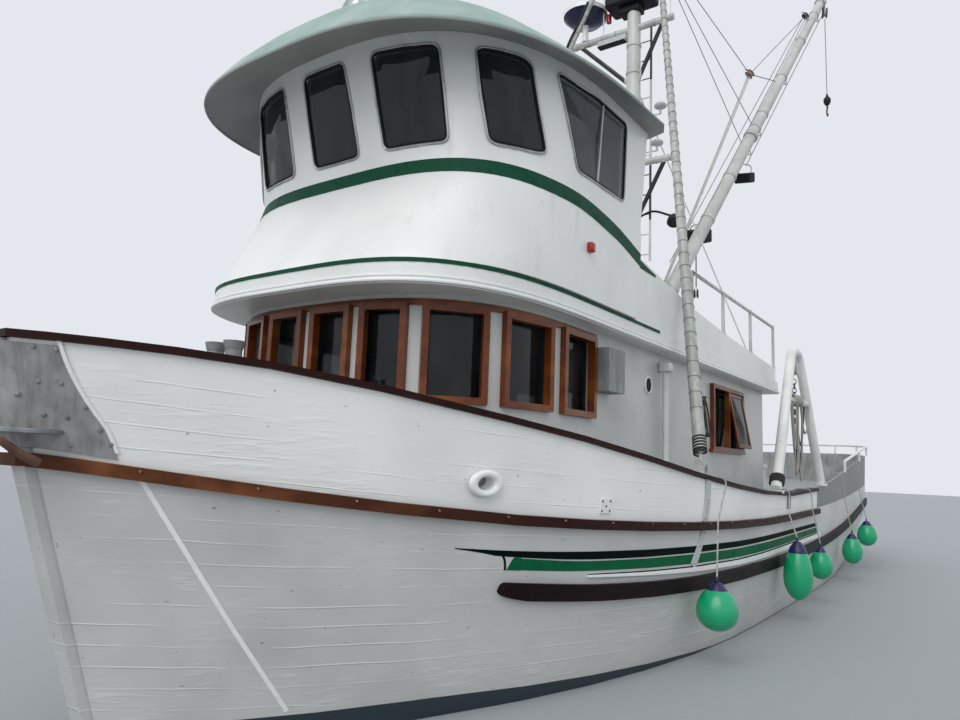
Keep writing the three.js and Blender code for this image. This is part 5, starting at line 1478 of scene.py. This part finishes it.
whips = {
    "paths": [((0.1, 0.7, 10.16), (0.1, 0.72, 12.4)), ((0.1, -0.62, 10.16), (0.1, -0.63, 12.0))],
    "radius": (0.014, 0.006, 8),
}
paths = np.stack([straight(*ends, 8) for ends in whips["paths"]])
tube("whip_antennas", paths, np.linspace(*whips["radius"]), "boat", "white")
lampArm = {"path": [(0.16, 0.12, 6.4), (0.18, 0.4, 6.48), (0.14, 0.74, 6.36)], "radius": 0.02}
path = smoothPath(lampArm["path"], 10)
tube("round_lamp_bracket", path, lampArm["radius"], "boat", "black", 8)

# Boom gear, placed along the boom from its pivot: distance, sideways, below
boomForm = {"pivot": (-0.6372, 0.3106, 5.0), "azimuth": 2.7429, "elevation": 1.0015, "length": 9.5}
level, rise = math.cos(boomForm["elevation"]), math.sin(boomForm["elevation"])
sideways = np.array([math.sin(boomForm["azimuth"]), -math.cos(boomForm["azimuth"]), 0])
aim = np.array([level * math.cos(boomForm["azimuth"]), level * math.sin(boomForm["azimuth"]), rise])
beneath = np.cross(aim, sideways)
beneath = -beneath * np.sign(beneath[2])


def onBoom(distance, side=0.0, below=0.0):
    return np.array(boomForm["pivot"]) + aim * distance + sideways * side + beneath * below


def boomTube(name, path, radius, key, sides=6, ring=False):
    tube(name, path, radius, "boom", key, sides, ring)


boomBands = {
    "at": np.array([0.35, 2.2, 3.4, 4.9, 5.35, 6.6, 7.9, 8.9, 9.35]),
    "radius": (0.152, 0.107),  # over the pivot and over the tip
    "height": 0.07,
}
thick = np.interp(boomBands["at"], (0, boomForm["length"]), boomBands["radius"])
bandRing = sleeves([onBoom(d) for d in boomBands["at"]], aim, thick, boomBands["height"], 20)
solid("boom_bands", bandRing, "boom", "zinc", bevel=0.006)

padEyes = {"at": [4.3, 4.9, 6.6, 8.9, 9.35], "below": (0.175, -0.0047), "radius": 0.045, "wire": 0.013}
under, taper = padEyes["below"]
centres = np.stack([onBoom(d, 0, under + taper * d) for d in padEyes["at"]])
eyes = circles(centres, padEyes["radius"], aim, beneath, 14)
boomTube("boom_eyes", eyes, padEyes["wire"], "zinc", ring=True)


def blockAt(name, place, body, key, size, direction=(0, 0, 1), beside=(1, 0.3, 0)):
    # Tackle block: two cheeks about a sheave, with an eye on top
    place = np.asarray(place, float)
    up = unit(np.asarray(direction, float))
    axle = unit(np.cross(up, beside))
    gap = size * 0.34
    cheek = [(0, -0.012), (size * 0.9, -0.012), (size, 0), (size * 0.9, 0.012), (0, 0.012)]
    cheeks = turned(cheek, np.stack([place + axle * gap, place - axle * gap]), axle, 20)
    solid(f"{name}_cheeks", cheeks, body, key, bevel=0.003)
    half, rim = gap * 0.8, size * 0.8
    sheave = [(0, -half), (rim, -half), (size * 0.6, 0), (rim, half), (0, half)]
    solid(f"{name}_sheave", turned(sheave, place, axle, 20), body, "zinc")
    ring = circles(place + up * size * 1.25, size * 0.3, up, np.cross(up, axle), 14)
    tube(f"{name}_eye", ring, size * 0.1, body, "zinc", ring=True)


redBlock, tipBlock, headBlock = onBoom(5.8, 0, -0.75), onBoom(9.3, 0, 0.24), onBoom(8.6, 0, -0.2)
blockAt("red_block", redBlock, "boom", "amber", 0.1, -beneath)
blockAt("tip_block", tipBlock, "boom", "black", 0.12)
blockAt("head_block", headBlock, "boom", "black", 0.08, -beneath)

tackle = {"radius": 0.008, "foot": (-0.5, 0.26, 5.08), "spread": (0.04, 0.03)}
heel = np.array(tackle["foot"])
top, low = (sideways * spread for spread in tackle["spread"])
falls = np.stack([straight(redBlock + k * top, heel + k * low, 17) for k in (-1, 0, 1)])
swung = ("boom_swivel", "boom", tuple(heel), tuple(redBlock))
tube("boom_tackle_falls", falls, tackle["radius"], swung, "rope")
bridle = np.stack([straight(redBlock, onBoom(6.35, 0, -0.1), 7), straight(redBlock, headBlock, 7)])
boomTube("red_block_bridle", bridle, 0.009, "wire")
runs = (
    (headBlock + sideways * 0.05, onBoom(1.6, 0.16, -0.24)),
    (headBlock - sideways * 0.05, onBoom(0.9, -0.16, -0.2)),
    (tipBlock - sideways * 0.05, onBoom(4.1, -0.1, 0.3)),
)
boomTube("boom_runners", np.stack([straight(*ends, 9) for ends in runs]), 0.008, "wire")

tip = {
    "drop": 0.14,
    "pendant": 1.9,
    "ballDrop": 2.03,
    "ball": [(0, -0.12), (0.05, -0.1), (0.08, -0.03), (0.075, 0.04), (0.03, 0.1), (0.014, 0.16), (0, 0.16)],
    "hookDrop": 2.15,
    "hook": [
        *[(0, 0, 0), (0, 0, -0.08), (0.07, 0, -0.15)],
        *[(0.05, 0, -0.24), (-0.04, 0, -0.24), (-0.07, 0, -0.17)],
    ],
}
hookTop = tipBlock - [0, 0, tip["drop"]]
boomTube("tip_pendant", straight(hookTop, hookTop - [0, 0, tip["pendant"]], 9), 0.009, "wire")
ball = turned(tip["ball"], hookTop - [0, 0, tip["ballDrop"]], (0, 0, 1), 18)
solid("tip_ball", ball, "boom", "black")
hook = hookTop - [0, 0, tip["hookDrop"]] + smoothPath(tip["hook"], 24)
boomTube("tip_hook", hook, np.linspace(0.022, 0.012, 24), "iron", sides=8)

foot = {"top": (1.35, 0, 0.15), "length": 0.62, "blockDrop": 0.74}
pendantTop = onBoom(*foot["top"])
pendant = straight(pendantTop, pendantTop - [0, 0, foot["length"]], 5)
boomTube("foot_pendant", pendant, 0.011, "darkRope")
blockAt("pendant_block", pendantTop - [0, 0, foot["blockDrop"]], "boom", "black", 0.09)

boomLamps = {
    "small": {"at": (3.7, 0.02, 0.32), "size": (0.24, 0.34, 0.2)},
    "large": {"at": (1.98, -0.3, 0.16), "size": (0.34, 0.5, 0.26)},
    "up": (0.35, 0.1, 0.93),
    "ahead": (-1, 0.3, 0.3),
    "yoke": [(0.16, 0.02), (0.15, 0.2)],  # sideways and height over the lamp's middle
}
for name in ("small", "large"):
    look = boomLamps[name]
    place = onBoom(*look["at"])
    lamp = boxRings(place, look["size"], boomLamps["up"], boomLamps["ahead"])
    solid(f"boom_floodlight_{name}", lamp, "boom", "black", bevel=0.03)
    near = [place + sideways * out + [0, 0, height] for out, height in boomLamps["yoke"]]
    far = [place - sideways * out + [0, 0, height] for out, height in boomLamps["yoke"][::-1]]
    yoke = smoothPath([*near, onBoom(look["at"][0] + 0.08), *far], 24)
    boomTube(f"boom_floodlight_{name}_yoke", yoke, 0.014, "zinc")

# Wires from the mast's axis to the boom
toppings = {"from": [12.75, 12.6, 12.85, 12.5], "to": [4.3, 4.9, 9.35], "below": -0.14, "radius": 0.008}
ends = [*(onBoom(distance, 0, toppings["below"]) for distance in toppings["to"]), redBlock]
for k, (z, end) in enumerate(zip(toppings["from"], ends), 1):
    start = np.array([mastForm["x"], 0.0, z])
    swung = ("boom_swivel", "boom", tuple(start), tuple(end))
    tube(f"topping_wire_{k}", straight(start, end, 33), toppings["radius"], swung, "wire")
print("boom rigged")

# Outrigger poles: distances along the pole from its foot
poleForm = {
    "foot": (3.68, 2.43, 2.092),
    "lean": (-2.71, -1.5, 7.33),
    "length": 9.9,
    "radius": (0.075, 0.045),
    "hose": {"along": (0.5, 9.2, 60), "out": 0.026, "wave": 0.008, "pitch": 7, "radius": 0.02},
    "ties": {"along": (0.7, 9.1, 0.21), "out": 0.003, "stretch": 0.32, "radius": 0.0035},
    "lashing": {"along": (0.13, 0.35), "turns": 6, "out": 0.07, "radius": 0.013},
    "coil": {"at": 0.62, "reach": 0.26, "turns": 3, "aft": 0.17, "out": 0.03, "wide": 0.1, "thick": 0.045},
    "heads": {"along": (9.6, 9.8), "radius": 0.062, "height": 0.06},
}


def poleRadius(s):
    return np.interp(s, (0, poleForm["length"]), poleForm["radius"])


for label, side in sides:
    body = f"outrigger_{label}"
    foot = np.array(poleForm["foot"]) * [1, side, 1]
    lean = unit(np.array(poleForm["lean"]) * [1, side, 1])
    ahead = unit(np.cross(lean, [0, side, 0]))
    square = np.cross(lean, ahead)
    look = poleForm["hose"]
    s = np.linspace(*look["along"])
    out = poleRadius(s) + look["out"] + look["wave"] * np.sin(s * look["pitch"])
    hose = foot + lean * s[:, None] + ahead * out[:, None]
    tube(f"pole_hose_{label}", hose, look["radius"], body, "rubber", 8)
    # Each tie bulges over the hose
    look = poleForm["ties"]
    s = np.arange(*look["along"])
    angle = np.arange(16) * 2 * math.pi / 16
    out = (poleRadius(s)[:, None] + look["out"]) * (1 + look["stretch"] * np.maximum(np.cos(angle), 0) ** 3)
    loop = ahead * np.cos(angle)[:, None] + square * np.sin(angle)[:, None]
    ties = (foot + lean * s[:, None])[:, None] + loop * out[..., None]
    tube(f"pole_ties_{label}", ties, look["radius"], body, "wire", ring=True)
    look = poleForm["lashing"]
    t = np.linspace(0, 1, 120)[:, None]
    spin = 2 * math.pi * look["turns"] * t
    start, end = look["along"]
    aside = look["out"] * (ahead * np.cos(spin) + square * np.sin(spin))
    wraps = foot + lean * (start + (end - start) * t) + aside
    tube(f"pole_foot_lashing_{label}", wraps, look["radius"], body, "darkRope")
    look = poleForm["coil"]
    t = np.linspace(0, 1, 90)[:, None]
    swing = 2 * math.pi * look["turns"] * t
    loops = foot + lean * (look["at"] + look["reach"] * np.cos(swing)) + ahead * look["wide"] * np.sin(swing)
    loops += np.array([-look["aft"], 0, 0]) + [0, side, 0] * (look["out"] + look["thick"] * (2 * t - 1))
    tube(f"pole_wire_coil_{label}", loops, 0.011, body, "darkRope")
    look = poleForm["heads"]
    rings = sleeves([foot + lean * s for s in look["along"]], lean, look["radius"], look["height"], 16)
    solid(f"pole_head_bands_{label}", rings, body, "zinc", bevel=0.004)
print("poles dressed")

# Fenders
fenders = {
    # Distance forward, height, radius and half length of each, and where its lanyard crosses the cap rail
    "at": [
        (3.93, 0.63, 0.24, 0.26, 3.3),
        (0.8, 0.72, 0.212, 0.42, 0.45),
        (-0.95, 0.65, 0.19, 0.26, -1.05),
        (-4.13, 0.64, 0.2, 0.3, -4.2),
        (-6.42, 0.79, 0.22, 0.28, -6.5),
    ],
    "cone": [
        *[(0.0, -0.14), (0.585, -0.14), (0.585, -0.11), (0.48, -0.05)],
        *[(0.34, -0.01), (0.26, 0.015), (0.2, 0.03), (0.0, 0.035)],
    ],
    "body": [
        *[(0.0, -1.0), (0.3, -0.95), (0.58, -0.82), (0.8, -0.6), (0.9, -0.3)],
        *[(0.88, -0.02), (0.78, 0.25), (0.6, 0.5), (0.45, 0.62), (0.0, 0.64)],
    ],
    "capRail": [
        *[(9.9, 2.75), (8.4, 2.66), (6.85, 2.47), (5.0, 2.24), (3.8, 2.0), (2.6, 1.84), (1.0, 1.78)],
        *[(-0.6, 1.74), (-2.4, 1.84), (-5.0, 2.12), (-8.0, 2.45)],
    ],
    "gap": 0.07,
    "neck": 0.86,  # share of the half length at which the cone ends
    "eye": 0.03,
    "eyeWire": 0.01,
    # The lanyard over the cap rail: distance aft, out from the bulwark, over the rail
    "over": [(0, 0.09, -0.02), (0, 0.06, 0.035), (0.02, -0.16, 0.03), (0.03, -0.2, -0.1)],
    "lanyard": 0.009,
}
for k, (x, z, radius, half, tied) in enumerate(fenders["at"], 1):
    y = float(hullHalf(x, z)) + radius + fenders["gap"]
    neck = half * fenders["neck"]
    outline = np.array(fenders["body"]) * [radius, half]
    rows = smoothPath(np.pad(outline, ((0, 0), (0, 1))), 36)[:, :2]
    bag = turned(rows, (x, y, z), (0, 0, 1), 32)
    bag = solid(f"fender_body_{k}", bag, "boat", "vinyl", sharp=70)
    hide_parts(f"fender_{k}")
    cone = np.array(fenders["cone"]) * [radius, 1] + [0, neck - 0.02]
    cone = turned(cone, (x, y, z), (0, 0, 1), 20)
    solid(f"fender_cone_{k}", cone, "boat", "navy", sharp=50)
    eyeZ = z + neck + 0.035
    eye = circles((x, y, eyeZ), fenders["eye"], (1, 0, 0), (0, 0, 1), 14)
    tube(f"fender_eye_{k}", eye, fenders["eyeWire"], "boat", "navy", ring=True)
    capZ = float(fair(sorted(fenders["capRail"]), tied))
    capY = float(bulwarkHalf(tied, capZ))
    guardZ = float(fair(hullForm["deckEdge"], (x + tied) / 2))
    guardX = x + (tied - x) * 0.55
    guardY = float(bulwarkHalf(guardX, guardZ)) + 0.13
    over = [(tied - aft, capY + out, capZ + height) for aft, out, height in fenders["over"]]
    path = routed([(x, y, eyeZ + 0.03), (guardX, guardY, guardZ + 0.02), *over], 60)
    tube(f"fender_lanyard_{k}", path, fenders["lanyard"], "boat", "rope")
print("fenders hung")

# Gallows and deck gear
gallows = {
    "foreFoot": (0.6, 2.5, 1.79),
    "foreTop": (-1.38, 2.33, 4.14),
    "aftTop": (-1.87, 2.33, 4.14),
    "aftFoot": (-2.62, 2.51, 1.83),
    "bar": 0.62,  # height of the bar as a share of the legs
    "footTurns": {"from": 0.1, "length": 0.14, "turns": 6, "out": 0.096, "radius": 0.014},
    "barTurns": {"share": (0.2, 0.55), "turns": 5, "out": 0.085, "radius": 0.016},
    # Bights hung from the bar: from and to as shares of its length, and the sag
    "bights": [(0.2, 0.55, 0.9), (0.3, 0.75, 1.15), (0.45, 0.85, 0.7)],
    "paleBights": [(0.08, 0.32, 0.8), (0.15, 0.4, 1.2), (0.5, 0.95, 0.5), (0.35, 0.6, 1.3)],
}
corners = ("foreFoot", "foreTop", "aftTop", "aftFoot")
foreFoot, foreTop, aftTop, aftFoot = (np.array(gallows[key]) for key in corners)


def wound(start, way, u, v, look, count):
    # Helix of rope about a bar: start + way * t + out * (u cos a + v sin a)
    t = np.linspace(0, 1, count)[:, None]
    angle = t * 2 * math.pi * look["turns"]
    return start + way * t + look["out"] * (u * np.cos(angle) + v * np.sin(angle))


look = gallows["footTurns"]
legWay, u, v = across(foreTop - foreFoot)
turns = wound(foreFoot + legWay * look["from"], legWay * look["length"], u, v, look, 90)
tube("gallows_rope_turns", turns, look["radius"], "boat", "darkRope")
barFore = foreFoot + (foreTop - foreFoot) * gallows["bar"]
bar = aftFoot + (aftTop - aftFoot) * gallows["bar"] - barFore
bightLooks = {
    "gallows_rope_bights": ("bights", [0, 0, -0.05], 0.012, "darkRope"),
    "gallows_pale_bights": ("paleBights", [0, 0.05, -0.04], 0.014, "rope"),
}
for name, (table, offset, radius, key) in bightLooks.items():
    start = barFore + offset
    drops = [hang(start + bar * a, start + bar * b, sag, 24) for a, b, sag in gallows[table]]
    tube(name, np.stack(drops), radius, "boat", key)
look = gallows["barTurns"]
low, high = look["share"]
upright = np.array([0, 0, 1])
knot = wound(barFore + bar * low, bar * (high - low), np.cross(unit(bar), upright), upright, look, 100)
tube("gallows_bar_turns", knot, look["radius"], "boat", "rope")
crown = (foreTop + aftTop) / 2
for name, side in (("gallows_block", 1), ("gallows_block_starboard", -1)):
    blockAt(name, (crown - [0, 0, 0.32]) * [1, side, 1], "boat", "zinc", 0.13, (0, 0, 1), (1, 0, 0))


def chainLinks(centres, along, u, v, length, width, wire):
    # Oval links, each turned a quarter from the last
    flat = np.where(np.arange(len(centres))[:, None] % 2 == 0, u, v)
    ovals = circles(centres, 1, along[:, None] * length, flat[:, None] * width, 14)
    return tubeRings(ovals, wire, 6, wrap=True)


chain = {
    "top": crown + [0.1, 0, -0.5],
    "drop": 0.75,
    "link": 0.05,
    "width": 0.031,
    "pitch": 0.0725,
    "wire": 0.008,
}
count = int(chain["drop"] / chain["pitch"])
way, u, v = across((0, 0, -1))
centres = chain["top"] + way * chain["drop"] * ((np.arange(count) + 0.5) / count)[:, None]
way = np.broadcast_to(way, centres.shape)
links = chainLinks(centres, way, u, v, chain["link"], chain["width"], chain["wire"])
solid("gallows_chain", links, "boat", "iron", wrap=True)

winding = {"at": (-2.95, 0, 2.13), "half": 0.56, "core": 0.2, "ridge": 0.008, "wire": 0.022}
along = np.linspace(-winding["half"], winding["half"], 113)
wave = np.abs(np.sin((along + winding["half"]) / winding["wire"] * math.pi))
ridge = winding["core"] + winding["ridge"] * wave
ends = [[(0.0, height)] for height in (-winding["half"], winding["half"])]
profile = np.concatenate([ends[0], np.stack([ridge, along], -1), ends[1]])
layers = turned(profile, winding["at"], (0, 1, 0), 32)
solid("winch_wire", layers, "winch_drum", "wire", sharp=80)

gypsy = {
    "at": (7.95, 2.19),
    "radius": 0.135,
    "turns": 5,
    "links": 72,
    "half": 0.2,
    "link": 0.038,
    "width": 0.022,
}
angle = np.arange(gypsy["links"]) * 2 * math.pi * gypsy["turns"] / gypsy["links"]
outward = points(np.cos(angle), 0, np.sin(angle))
spread = np.linspace(-gypsy["half"], gypsy["half"], gypsy["links"])
centres = points(gypsy["at"][0], spread, gypsy["at"][1]) + gypsy["radius"] * outward
along = unit(np.gradient(centres, axis=0))
links = chainLinks(centres, along, outward, np.cross(along, outward), gypsy["link"], gypsy["width"], 0.007)
solid("windlass_chain", links, "windlass_drum", "iron", wrap=True)

ironBar = {
    "path": [(9.78, 0.4, 1.93), (9.9, 0.4, 1.99), (10.02, 0.37, 2.07), (10.1, 0.33, 2.09)],
    "radius": (0.03, 0.022, 12),
}
path = smoothPath(ironBar["path"], 12)
tube("bow_iron_bar", path, np.linspace(*ironBar["radius"]), "boat", "iron", 10)
print("gear ready")
